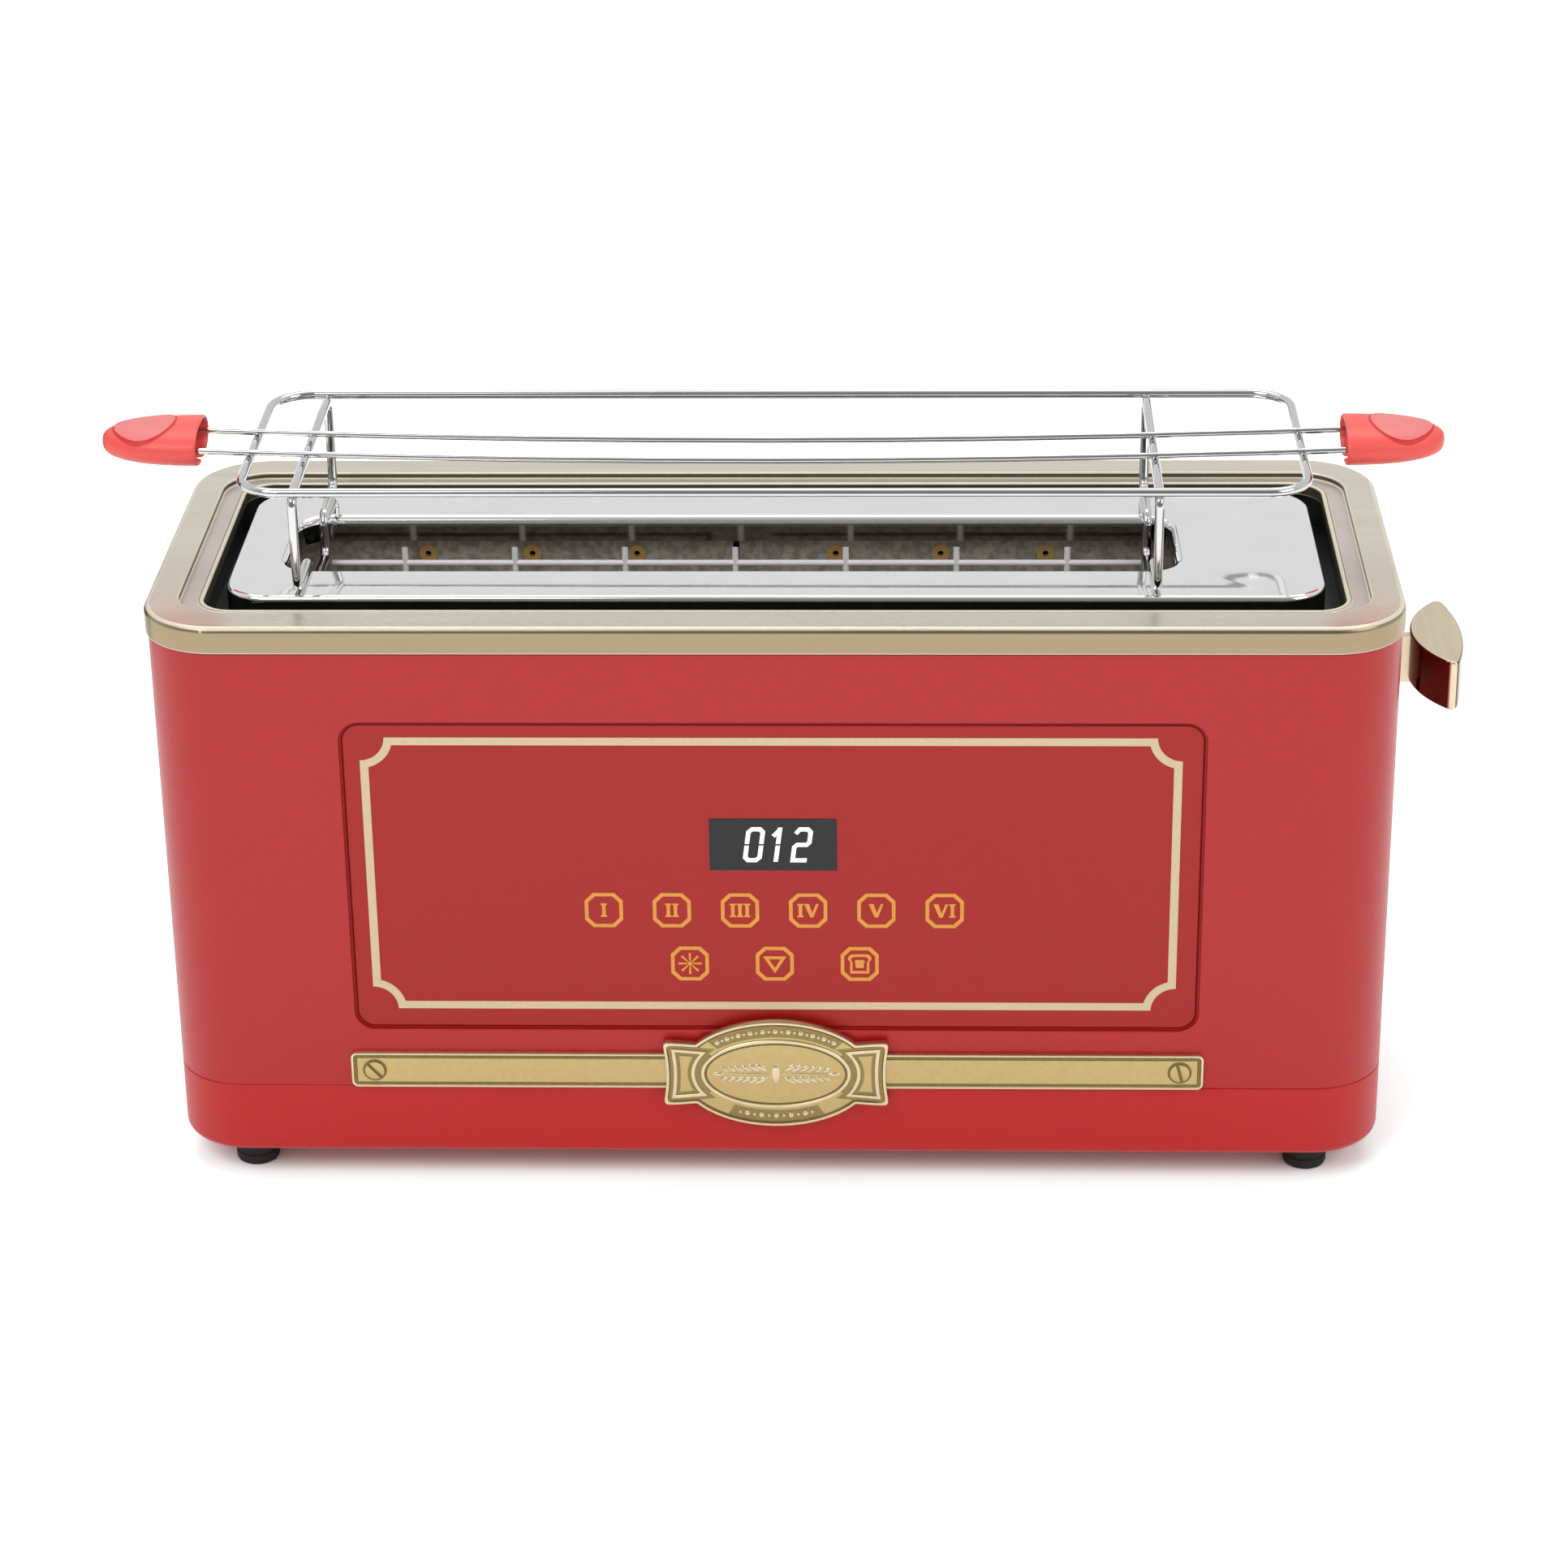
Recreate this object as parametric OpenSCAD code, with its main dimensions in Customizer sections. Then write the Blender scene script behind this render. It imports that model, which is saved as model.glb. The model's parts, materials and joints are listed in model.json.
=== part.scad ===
// Long-slot toaster with a lift-off bun rack, a lever at its right end and a rear crumb tray.
// Millimetres. X runs along the slot, -Y is the front and Z is up. The feet stand on Z = 0.

/* [Body] */
// Width of the body sleeve, side to side
body_w = 388.5; // [376:0.5:430]
// Depth of the body sleeve, front to back
body_d = 144.5; // [140:0.5:180]
// Height of the body sleeve, from the base seam to the trim
body_h = 150.8; // [146:0.1:180]
// Corner radius of the body in plan
body_r = 23; // [18:0.5:30]
// Sheet thickness of the body sleeve
body_t = 1.2; // [0.8:0.1:2]

/* [Base] */
// Height of the rubber feet below the base
foot_h = 10; // [8:0.5:18]
// Diameter of a foot
foot_d = 14; // [11:0.5:20]
// Diameter of the stud that holds a foot in the base
foot_stud_d = 8; // [5:0.5:10]
// Distance of a foot's centre from the side of the base
foot_inset_x = 23.5; // [18:0.5:30]
// Distance of a foot's centre from the front or back of the base
foot_inset_y = 15; // [13:0.5:18]
// Height of the base skirt
base_h = 24.5; // [21:0.5:32]
// Wall and floor thickness of the base skirt
base_t = 2.5; // [2:0.1:3.5]
// Radius of the base's lower outside edge
base_edge_r = 3; // [3:0.5:8]
// How far the bottom plate reaches past the chamber and the guide rod
bottom_reach = 10; // [8:0.5:12]
// Depth of the opening in the base floor
floor_open_d = 84; // [70:1:90]
// Overlap of the bottom plate on the base floor, on each side
bottom_lap = 14; // [10:0.5:16]
// Thickness of the bottom plate
bottom_t = 1.2; // [0.8:0.1:2]
// Shank diameter of the bottom and strap screws
screw_d = 3; // [2.5:0.1:4]
// Head diameter of the bottom screws
screw_head_d = 6; // [5:0.1:7]

/* [Trim and top] */
// Height of the trim ring
trim_h = 8.75; // [7:0.25:14]
// Sheet thickness of the trim ring
trim_t = 2; // [1.5:0.1:2.5]
// How far the trim ring stands out from the body
trim_over = 0.75; // [0.3:0.05:2]
// Radius of the trim ring's upper outside edge
trim_edge_r = 2; // [1:0.1:2.5]
// Width of the trim ring's flat at the left and right
flat_x = 10.3; // [8:0.1:12]
// Width of the trim ring's flat at the front and back
flat_y = 13; // [10:0.1:14]
// Width of the sunk step at the left and right
step_x = 6; // [4:0.1:8]
// Width of the sunk step at the front and back
step_y = 4.4; // [3:0.1:6]
// How far the step lies below the flat
step_drop = 2.2; // [1:0.1:3]
// Thickness of the bead along the step's inner edge
bead_t = 1.5; // [1:0.1:2.5]
// Height of the bead above the step
bead_rise = 0.6; // [0.2:0.1:1.5]
// Gap between the bead and the top plate, at the left and right
well_gap = 5.3; // [3:0.1:8]
// Gap between the bead and the top plate, at the front and back
well_gap_y = 8.5; // [6:0.1:10]
// Depth of the top plate's skirt
plate_skirt = 15.5; // [12:0.5:18]
// How far the top plate lies below the trim's flat
plate_drop = 0.95; // [0:0.05:3]
// Corner radius of the top plate
plate_r = 14; // [9:0.5:18]
// Radius of the top plate's outer edge
rim_r = 1.6; // [1.4:0.1:3]
// Radius of the bread slot's rolled edge
roll_r = 3; // [2:0.1:4]
// Sheet thickness of the top plate
plate_t = 1; // [0.7:0.1:1.4]
// Sheet thickness of the well liner
liner_t = 1.2; // [0.8:0.1:2]

/* [Slot and heaters] */
// Length of the bread slot
slot_w = 281.4; // [256:0.1:284]
// Width of the bread slot
slot_d = 44; // [40:0.5:47]
// Corner radius of the bread slot
slot_r = 9; // [6:0.5:12]
// Centre of the bread slot, along X
slot_x = -14.5; // [-17:0.1:-12]
// Depth of the slot's rolled lip
slot_lip = 8.3; // [5:0.1:10]
// Gap between the end of the slot and the chassis end plate
end_gap = 4.6; // [3:0.1:6]
// Sheet thickness of the chassis end plates
end_t = 1.2; // [1:0.1:2]
// Distance of the reflectors from the middle of the slot
reflector_y = 37; // [35:0.5:39]
// Sheet thickness of the reflectors
reflector_t = 0.6; // [0.4:0.1:1]
// Distance of the heater cards from the middle of the slot
card_y = 30; // [28.5:0.5:31.5]
// Thickness of a heater card
card_t = 0.8; // [0.5:0.1:1.2]
// How far the heater cards reach up past the well floor
card_rise = 6.4; // [3:0.1:8]
// Gap between the two heater cards of one side
card_gap = 2; // [1:0.5:10]
// Distance of each card's eyelets from the middle of the slot
eyelet_offset = 66.9; // [62:0.1:72]
// Spacing of the eyelets
eyelet_pitch = 34.3; // [28:0.1:36]
// Hole diameter in a card for an eyelet
eyelet_d = 4; // [3:0.1:5]
// Heater ribbon rows on a card
ribbon_rows = 8; // [4:1:10]
// Height of a heater ribbon
ribbon_h = 2; // [1:0.1:3]
// Thickness of a heater ribbon
ribbon_t = 0.3; // [0.2:0.05:0.5]
// Diameter of the bread guide wires
guide_d = 2; // [1.5:0.1:2.5]
// Diameter of the pivot rod of a bread guide
pivot_d = 3; // [2.5:0.1:4]
// Height of the bread guides' pivots above the bottom plate
pivot_h = 33; // [28:0.5:40]
// Gap between a bread guide and the face of the slot
guide_gap = 0.5; // [0.2:0.1:1.5]
// Spacing of the upright guide wires
guide_pitch = 36; // [30:0.5:38]

/* [Lever] */
// Downward travel of the lever
lever_travel = 75; // [60:1:78]
// How far the bread carrier's top lies below the top plate, lever up
carrier_drop = 68.1; // [63:0.1:70]
// Thickness of the carrier strip
carrier_t = 2; // [1.5:0.1:3]
// Height of the carrier strip
carrier_strip_h = 12; // [8:0.5:14]
// Reach of the carrier's cross rods from the middle of the slot
carrier_reach = 14; // [10:0.5:16]
// Diameter of the guide rod
rod_d = 6; // [5:0.1:7]
// Distance of the guide rod from the right end plate
rod_gap = 18; // [16:0.5:20]
// Wall of the slider's bush around the guide rod
bush_wall = 3; // [2:0.1:4]
// Height of the slider's bush
bush_h = 40; // [38:1:46]
// Thickness of the lever arm
arm_t = 3; // [2:0.1:4]
// Height of the lever arm
arm_h = 16.5; // [12:0.1:20]
// How far the lever arm's lower edge lies below the trim, lever up
arm_drop = 40.3; // [39:0.1:44]
// Gap between the body and the lever knob
knob_gap = 8.8; // [5:0.1:14]
// Length of the lever knob, front to back
knob_len = 55; // [36:0.5:60]
// Depth of the knob's inner curve
knob_inner_sag = 12; // [8:0.1:14]
// Depth of the knob's outer curve
knob_outer_sag = 4.4; // [3:0.1:8]
// Radius of the knob's tips
knob_tip_r = 2.2; // [1:0.1:3]
// Height of the lever knob
knob_h = 16.5; // [12:0.5:20]
// How far the knob's underside lies above the arm's lower edge
knob_lift = 1; // [0:0.1:5]
// Wire diameter of the return spring
spring_wire = 1; // [0.6:0.1:1.2]
// Turns of the return spring
spring_turns = 18; // [8:1:24]

/* [Front] */
// Width of the front panel
panel_w = 266; // [240:0.5:290]
// Height of the front panel
panel_h = 105.2; // [100:0.1:112]
// Height of the panel's lower edge above the base seam
panel_z = 21.5; // [20:0.1:26]
// Corner radius of the front panel
panel_r = 5.5; // [3:0.1:9]
// How far the panel lies behind the body's face
panel_sink = 0.9; // [0.3:0.1:1.1]
// Lap of the panel behind the body, on each side
panel_lap = 4; // [2:0.5:6]
// Thickness of the panel
panel_t = 2; // [1.5:0.1:3]
// Distance of the printed border from the panel's edge, at the sides
border_inset_x = 5.9; // [3:0.1:9]
// Distance of the printed border from the panel's edge, at top and bottom
border_inset_y = 5.3; // [3:0.1:9]
// Place of the border's middle along X
border_x = -0.6; // [-2:0.1:2]
// Height of the border's middle above the panel's
border_lift = 1; // [-2:0.1:2]
// Width of the printed border line
border_t = 2.6; // [1:0.1:4]
// Radius of the border's notched corners
notch_r = 7.8; // [4:0.1:12]
// Thickness of the printed layers
print_t = 0.15; // [0.1:0.05:0.3]
// Width of the display window
display_w = 39.8; // [30:0.1:50]
// Height of the display window
display_h = 17.9; // [12:0.1:24]
// Height of the display's centre above the panel's lower edge
display_z = 64.4; // [60:0.1:70]
// Height of a display digit
digit_h = 11.4; // [8:0.1:12]
// Across flats of a key outline
key_w = 12; // [9:0.1:14]
// Line width of a key outline
key_line = 0.7; // [0.4:0.05:1.2]
// Spacing of the six upper keys
key_pitch = 21.4; // [16:0.1:24]
// Height of the upper keys above the panel's lower edge
key_z = 41.4; // [38:0.1:46]
// Spacing of the three lower keys
low_key_pitch = 26.8; // [20:0.1:34]
// Height of the lower keys above the panel's lower edge
low_key_z = 22.6; // [19:0.1:25]
// Length of the strap
strap_w = 272; // [240:1:300]
// Height of the strap
strap_h = 12.5; // [9:0.1:16]
// Thickness of the strap
strap_t = 1.4; // [0.8:0.1:2.5]
// Height of the strap's lower edge above the base seam
strap_z = 0.4; // [0:0.1:4]
// Distance of the strap screws from the strap's ends
strap_screw_inset = 7.6; // [5:0.1:12]
// Head diameter of the strap screws
strap_head_d = 6.9; // [5:0.1:9]
// Width of the oval badge
badge_w = 61.6; // [40:0.1:70]
// Height of the oval badge
badge_h = 37.8; // [26:0.1:46]
// Thickness of the badge
badge_t = 1.8; // [1:0.1:3]
// Span of the badge's wings
wing_w = 72.6; // [60:0.1:90]
// Height of the badge's wings at their ends
wing_h = 23.4; // [16:0.1:30]
// Height of the badge's wings at their roots
wing_root_h = 21.3; // [14:0.1:24]
// How far the wings' ends curve in
wing_sag = 2.2; // [1:0.1:4]
// Width of the badge's raised inner ring
badge_ring_w = 52.4; // [34:0.1:56]
// Height of the badge's raised inner ring
badge_ring_h = 25.1; // [14:0.1:28]
// Line width of the badge's inner ring
badge_ring_t = 2.2; // [1:0.1:4]

/* [Crumb tray and back] */
// Height of the crumb tray's walls
tray_wall_h = 6; // [4:0.5:7]
// Sheet thickness of the crumb tray
tray_t = 0.8; // [0.5:0.1:1.2]
// Height of the crumb tray's front
tray_front_h = 14.6; // [12:0.1:15]
// How far the tray's pull stands out
tray_pull = 4; // [3:0.5:8]
// Hole diameter of the cord gland
gland_d = 7; // [5:0.1:8]

/* [Bun rack] */
// How far the rack's loop reaches past the left end of the slot
rack_over = 9.8; // [9:0.1:20]
// Distance of the rack's side wires from the front and back edge of the top plate
rack_inset = 1; // [-2:0.1:6]
// Corner radius of the rack's loop
rack_r = 13; // [8:0.5:20]
// Height of the rack's loop above the top plate
rack_h = 34.1; // [26:0.1:45]
// Wire diameter of the loop and the legs
rack_wire = 3; // [2:0.1:4]
// Wire diameter of the inner rails
rail_wire = 2; // [1.5:0.1:2.5]
// Spacing of the inner rails
rail_gap = 18.5; // [16:0.1:20]
// Position of the inner rails' middle, front to back
rail_y = -6.5; // [-8:0.1:4]
// How far the inner rails sag in their middle
rail_sag = 2.8; // [1:0.1:5]
// Shift of the rails and handles along X
rail_x = -1.5; // [-4:0.1:2]
// Distance of the legs from the ends of the slot
leg_inset = 7.3; // [7:0.1:10]
// How deep the legs dip into the slot
leg_dip = 12; // [9:0.5:18]
// Bend radius of the legs
leg_bend_r = 4; // [3:0.1:4]
// Distance from the loop's end to the handle
handle_gap = 14.6; // [8:0.1:24]
// Length of a handle
handle_len = 29.7; // [26:0.1:44]
// Width of a handle
handle_w = 28; // [26:0.1:34]
// Thickness of a handle
handle_t = 13.2; // [9:0.1:16]

/* [Fits] */
// Clearance between pieces that pass each other
pass_gap = 1; // [0.6:0.1:1.2]
// Gap between pieces of different bodies at rest
rest_gap = 0.3; // [0.2:0.05:0.5]
// Radial clearance of a running fit
run_gap = 0.05; // [0.02:0.01:0.09]
// Radial clearance of a screw, stud or eyelet in its hole
hole_gap = 0.1; // [0.05:0.05:0.3]

/* [Hidden] */
$fn = 64;

red = [0.72, 0.17, 0.16];
panel_red = [0.66, 0.17, 0.15];
brass = [0.73, 0.65, 0.47];
cream = [0.86, 0.75, 0.53];
gold = [0.85, 0.55, 0.13];
chrome = [0.86, 0.87, 0.88];
steel = [0.62, 0.63, 0.65];
black = [0.06, 0.06, 0.06];
coral = [0.95, 0.30, 0.29];
mica = [0.42, 0.37, 0.33];
board_green = [0.10, 0.30, 0.16];

// Levels, from the table up
base_z = foot_h;
floor_z = base_z + base_t;
bottom_z = floor_z + bottom_t;
seam_z = base_z + base_h;
trim_z = seam_z + body_h;
top_z = trim_z + trim_h;
plate_z = top_z - plate_drop;
well_z = plate_z - plate_skirt;
liner_z = well_z - liner_t;
step_z = top_z - step_drop;

// Nested outlines of the top, each from the one outside it
trim_w = body_w + 2 * trim_over;
trim_d = body_d + 2 * trim_over;
trim_r = body_r + trim_over;
band_t = trim_edge_r + 1;
flat_w = trim_w - 2 * flat_x;
flat_d = trim_d - 2 * flat_y;
flat_r = trim_r - min(flat_x, flat_y) + 1;
step_w = flat_w - 2 * step_x;
step_d = flat_d - 2 * step_y;
step_r = flat_r - min(step_x, step_y) + 1;
bead_w = step_w - 2 * bead_t;
bead_d = step_d - 2 * bead_t;
bead_r = step_r - bead_t;
plate_w = bead_w - 2 * well_gap;
plate_d = bead_d - 2 * well_gap_y;

// Heating chamber
chamber_margin = 10;
end_foot_w = 8;
guide_drop = 2.6;
guide_stub = 5.2;
guide_over = 24;
reflector_lift = 18;
card_lift = 26;
ribbon_lift = 8;
ribbon_drop = 10;
spacer_lap = 5;
spacer_drop = 2;
spacer_t = 0.8;
left_x = slot_x - slot_w / 2 - end_gap;
right_x = slot_x + slot_w / 2 + end_gap;
chamber_w = right_x - left_x;
end_d = 2 * (reflector_y + chamber_margin);
guide_y = slot_d / 2 + guide_gap;
pivot_z = bottom_z + pivot_h;
guide_top_z = plate_z - slot_lip - guide_drop;
guide_rail_z = guide_top_z - guide_stub;
guide_count = 7;
reflector_z = bottom_z + reflector_lift;
card_z = reflector_z + card_lift;
card_top_z = well_z + card_rise;
card_w = (chamber_w - card_gap) / 2;
eyelet_z = well_z - 0.2;
ribbon_z = card_z + ribbon_lift;
ribbon_margin = 9;

// Lever and what moves with it
carrier_z = plate_z - carrier_drop;
carrier_bottom_z = carrier_z - carrier_strip_h;
rod_x = right_x + end_t + rod_gap;
bush_r = rod_d / 2 + bush_wall;
bottom_w = rod_x - left_x + 2 * bottom_reach;
bottom_x = (rod_x + left_x) / 2;
slider_z = carrier_bottom_z;
rod_drop = 4;
rod_top_z = liner_z - rod_drop;
arm_low_z = trim_z - arm_drop;
knob_x = body_w / 2 + knob_gap;
knob_z = arm_low_z + knob_lift;
knob_bite = 6;
tab_t = 2;
tab_lift = 11;
tab_z = slider_z + tab_lift;
armature_t = 3;
armature_size = 18;
magnet_foot = 22;
magnet_x = right_x + end_t + end_foot_w + pass_gap + magnet_foot / 2;
magnet_y = -bush_r - magnet_foot / 2 - pass_gap;
magnet_top_z = tab_z - armature_t - lever_travel - 2 * rest_gap;

// Front
front_y = -body_d / 2;
panel_low_z = seam_z + panel_z;
panel_mid_z = panel_low_z + panel_h / 2;
panel_face_y = front_y + panel_sink;
panel_back_y = front_y + body_t + panel_t;
panel_gap = 0.9;
strap_low_z = seam_z + strap_z;
strap_mid_z = strap_low_z + strap_h / 2;
strap_face_y = front_y - strap_t;
strap_head_t = 0.9;
strap_groove = 0.9;
strap_screw_reach = 6;
control_gap = 7;
control_y = panel_back_y + control_gap;
control_drop = 20;
control_z = panel_low_z + display_z - control_drop;

// Crumb tray and cord gland
tray_z = bottom_z + rest_gap;
tray_x0 = left_x + pass_gap;
tray_w = chamber_w - 2 * pass_gap;
tray_y0 = -end_d / 2;
tray_back_y = body_d / 2 - base_t;
gland_wall = 2.5;

// Bun rack
rack_w = slot_w - 2 * slot_x + 2 * rack_over;
rack_d = plate_d - 2 * rack_inset;
rack_z = plate_z + rack_h;
leg_foot_z = plate_z + rack_wire / 2 + rest_gap;
leg_drop = 1.3;
leg_y = rack_d / 2 + leg_bend_r - sqrt(pow(rack_wire + leg_bend_r, 2) - pow(leg_drop + leg_bend_r, 2));
leg_edge_gap = 0.35 * slot_r;
leg_in_y = slot_d / 2 - leg_edge_gap;
rail_z = rack_z + (rack_wire + rail_wire) / 2;
rail_bow_r = (pow(rack_w / 2, 2) + rail_sag * rail_sag) / (2 * rail_sag);
handle_x = rack_w / 2 + handle_gap;
rail_end = handle_x + handle_len * 0.35;
handle_z = rail_z + (pow((handle_x + rail_end) / 2, 2) - pow(rack_w / 2, 2)) / (2 * rail_bow_r);

// Shared shapes

// Rectangle with round corners, centred
module rounded_rect(w, d, r) {
  square([w - 2 * r, d], center = true);
  square([w, d - 2 * r], center = true);
  for (sx = [-1, 1], sy = [-1, 1])
    translate([sx * (w / 2 - r), sy * (d / 2 - r)])
      circle(r);
}

// Upright ring between two rounded rectangles, each given as [width, depth, radius]
module ring(outer, inner, z, h) {
  translate([0, 0, z])
    linear_extrude(h)
      difference() {
        rounded_rect(outer[0], outer[1], outer[2]);
        rounded_rect(inner[0], inner[1], inner[2]);
      }
}

// Profile carried round a rounded rectangle: x points outwards from the outline, y points up
module frame_sweep(w, d, r) {
  for (side = [0:3]) {
    reach = side % 2 == 0 ? w / 2 : d / 2;
    run = (side % 2 == 0 ? d : w) - 2 * r;
    rotate(side * 90) {
      translate([reach, run / 2, 0])
        rotate([90, 0, 0])
          linear_extrude(run)
            children();
      translate([reach - r, run / 2, 0])
        rotate_extrude(angle = 90)
          translate([r, 0])
            children();
    }
  }
}

// Quarter of a bent sheet: centre at the origin, in the quadrant given by the signs
module quarter_bend(outer_r, sheet_t, sx, sy) {
  intersection() {
    difference() {
      circle(outer_r);
      circle(outer_r - sheet_t);
    }
    translate([sx > 0 ? 0 : -outer_r, sy > 0 ? 0 : -outer_r])
      square(outer_r);
  }
}

// Flat shape stood upright, facing the front, with its back at y_back
module upright(y_back, t) {
  translate([0, y_back, 0])
    rotate([90, 0, 0])
      linear_extrude(t)
        children();
}

module rod_x_axis(x0, x1, d) {
  translate([x0, 0, 0])
    rotate([0, 90, 0])
      cylinder(d = d, h = x1 - x0);
}

module rod_y_axis(y0, y1, d) {
  translate([0, y0, 0])
    rotate([-90, 0, 0])
      cylinder(d = d, h = y1 - y0);
}

function unit(v) = v / norm(v);
function turn(a, b) = atan2(cross(a, b), a * b);

// Round wire bent into a closed loop in the XY plane
module wire_loop(points, wire_d, bend_r) {
  n = len(points);
  dirs = [for (i = [0:n - 1]) unit(points[(i + 1) % n] - points[i])];
  turns = [for (i = [0:n - 1]) turn(dirs[(i + n - 1) % n], dirs[i])];
  cuts = [for (t = turns) bend_r * tan(abs(t) / 2)];
  for (i = [0:n - 1]) {
    b = dirs[i];
    from = points[i] + b * cuts[i];
    to = points[(i + 1) % n] - b * cuts[(i + 1) % n];
    translate(from)
      rotate(atan2(b[1], b[0]))
        rotate([0, 90, 0])
          cylinder(d = wire_d, h = norm(to - from));
    a = dirs[(i + n - 1) % n];
    bend_start = points[i] - a * cuts[i];
    side = turns[i] > 0 ? 1 : -1;
    centre = bend_start + [-a[1], a[0]] * bend_r * side;
    first = atan2(bend_start[1] - centre[1], bend_start[0] - centre[0]);
    translate(centre)
      rotate(first + min(turns[i], 0))
        rotate_extrude(angle = abs(turns[i]))
          translate([bend_r, 0])
            circle(d = wire_d);
  }
}

// Casing

module screw_holes_strap() {
  for (sx = [-1, 1])
    translate([sx * (strap_w / 2 - strap_screw_inset), 0, strap_mid_z])
      rod_y_axis(strap_face_y - 1, front_y + 2 * body_t, screw_d + 2 * hole_gap);
}

module body_shell() {
  inner = [body_w - 2 * body_t, body_d - 2 * body_t, body_r - body_t];
  arm_cut = arm_t + 2 * pass_gap;
  cut_low = arm_low_z - lever_travel - pass_gap;
  cut_high = arm_low_z + arm_h + pass_gap;
  color(red)
    difference() {
      ring([body_w, body_d, body_r], inner, seam_z, body_h);
      translate([0, 0, panel_mid_z])
        upright(front_y + 2 * body_t, 3 * body_t)
          rounded_rect(panel_w + 2 * panel_gap, panel_h + 2 * panel_gap, panel_r + panel_gap);
      translate([body_w / 2 - 2 * body_t, -arm_cut / 2, cut_low])
        cube([3 * body_t, arm_cut, cut_high - cut_low]);
      screw_holes_strap();
    }
}

module foot_places() {
  for (sx = [-1, 1], sy = [-1, 1])
    translate([sx * (body_w / 2 - foot_inset_x), sy * (body_d / 2 - foot_inset_y), 0])
      children();
}

module bottom_screw_places() {
  for (sx = [-1, 0, 1], sy = [-1, 1])
    translate([bottom_x + sx * (bottom_w - bottom_lap) / 2, sy * (floor_open_d + bottom_lap) / 2, 0])
      children();
}

module base_profile() {
  translate([-base_t, base_edge_r])
    square([base_t, base_h - base_edge_r]);
  translate([-base_edge_r, base_edge_r])
    quarter_bend(base_edge_r, base_t, 1, -1);
}

module base_skirt() {
  color(red)
    difference() {
      union() {
        translate([0, 0, base_z])
          frame_sweep(body_w, body_d, body_r)
            base_profile();
        translate([0, 0, base_z])
          linear_extrude(base_t)
            difference() {
              rounded_rect(body_w - 2 * base_edge_r, body_d - 2 * base_edge_r, body_r - base_edge_r);
              translate([bottom_x, 0])
                square([bottom_w - 2 * bottom_lap, floor_open_d], center = true);
            }
      }
      foot_places()
        translate([0, 0, base_z - 1])
          cylinder(d = foot_stud_d, h = base_t + 2);
      bottom_screw_places() {
        translate([0, 0, base_z - 1])
          cylinder(d = screw_d + 2 * hole_gap, h = base_t + 2);
        translate([0, 0, base_z - 1])
          cylinder(d = screw_head_d + 2 * hole_gap, h = 1 + base_t / 2);
      }
      translate([tray_x0 - pass_gap, tray_back_y - 1, bottom_z])
        cube([tray_w + 2 * pass_gap, base_t + 2, tray_front_h + pass_gap]);
      gland_place()
        rod_y_axis(-base_t - 1, 1, gland_d + 2 * gland_wall);
    }
}

module bottom_plate() {
  corner_r = 6;
  vent_w = 3;
  vent_pitch = 24;
  vent_count = 11;
  color(steel)
    difference() {
      translate([bottom_x, 0, floor_z])
        linear_extrude(bottom_t)
          rounded_rect(bottom_w, floor_open_d + 2 * bottom_lap, corner_r);
      for (i = [0:vent_count - 1], sy = [-1, 1])
        translate([bottom_x + (i - (vent_count - 1) / 2) * vent_pitch, sy * floor_open_d / 4, floor_z])
          cube([vent_w, floor_open_d / 4, 3 * bottom_t], center = true);
      bottom_screw_places()
        translate([0, 0, floor_z - 1])
          cylinder(d = screw_d + 2 * hole_gap, h = bottom_t + 2);
      translate([rod_x, 0, floor_z - 1])
        cylinder(d = rod_d + 2 * hole_gap, h = bottom_t + 2);
    }
}

module rubber_feet() {
  edge = 1.2;
  color(black)
    foot_places() {
      cylinder(d1 = foot_d - 2 * edge, d2 = foot_d, h = edge);
      translate([0, 0, edge])
        cylinder(d = foot_d, h = foot_h - edge);
      translate([0, 0, foot_h])
        cylinder(d = foot_stud_d - 2 * hole_gap, h = base_t);
    }
}

module bottom_screws() {
  head_sink = 0.1;
  color(steel)
    bottom_screw_places() {
      translate([0, 0, base_z + head_sink])
        cylinder(d = screw_head_d, h = base_t / 2 - head_sink);
      translate([0, 0, base_z + base_t / 2])
        cylinder(d = screw_d, h = base_t / 2 + bottom_t);
    }
}

// Top

module band_profile() {
  difference() {
    translate([-band_t, 0])
      square([band_t, trim_h]);
    translate([-trim_edge_r, trim_h - trim_edge_r])
      difference() {
        square(trim_edge_r + 1);
        circle(trim_edge_r);
      }
  }
}

module trim_ring() {
  inner = [flat_w, flat_d, flat_r];
  wall = [flat_w + 2 * trim_t, flat_d + 2 * trim_t, flat_r + trim_t];
  step = [step_w, step_d, step_r];
  bead = [bead_w, bead_d, bead_r];
  bead_skirt = 1.5;
  color(brass)
    union() {
      translate([0, 0, trim_z])
        frame_sweep(trim_w, trim_d, trim_r)
          band_profile();
      ring([trim_w - 2 * band_t, trim_d - 2 * band_t, trim_r - band_t], inner, top_z - trim_t, trim_t);
      ring(wall, inner, step_z - trim_t, step_drop);
      ring(inner, step, step_z - trim_t, trim_t);
      ring(step, bead, step_z - trim_t - bead_skirt, trim_t + bead_skirt + bead_rise);
    }
}

module well_liner() {
  outer = [step_w + 2 * liner_t, step_d + 2 * liner_t, step_r + liner_t];
  color(black)
    union() {
      ring(outer, [step_w, step_d, step_r], liner_z, step_z - trim_t - liner_z);
      translate([0, 0, liner_z])
        linear_extrude(liner_t)
          difference() {
            rounded_rect(step_w, step_d, step_r);
            translate([left_x - end_t / 2, -reflector_y - reflector_t])
              square([chamber_w + end_t, 2 * (reflector_y + reflector_t)]);
          }
    }
}

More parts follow.
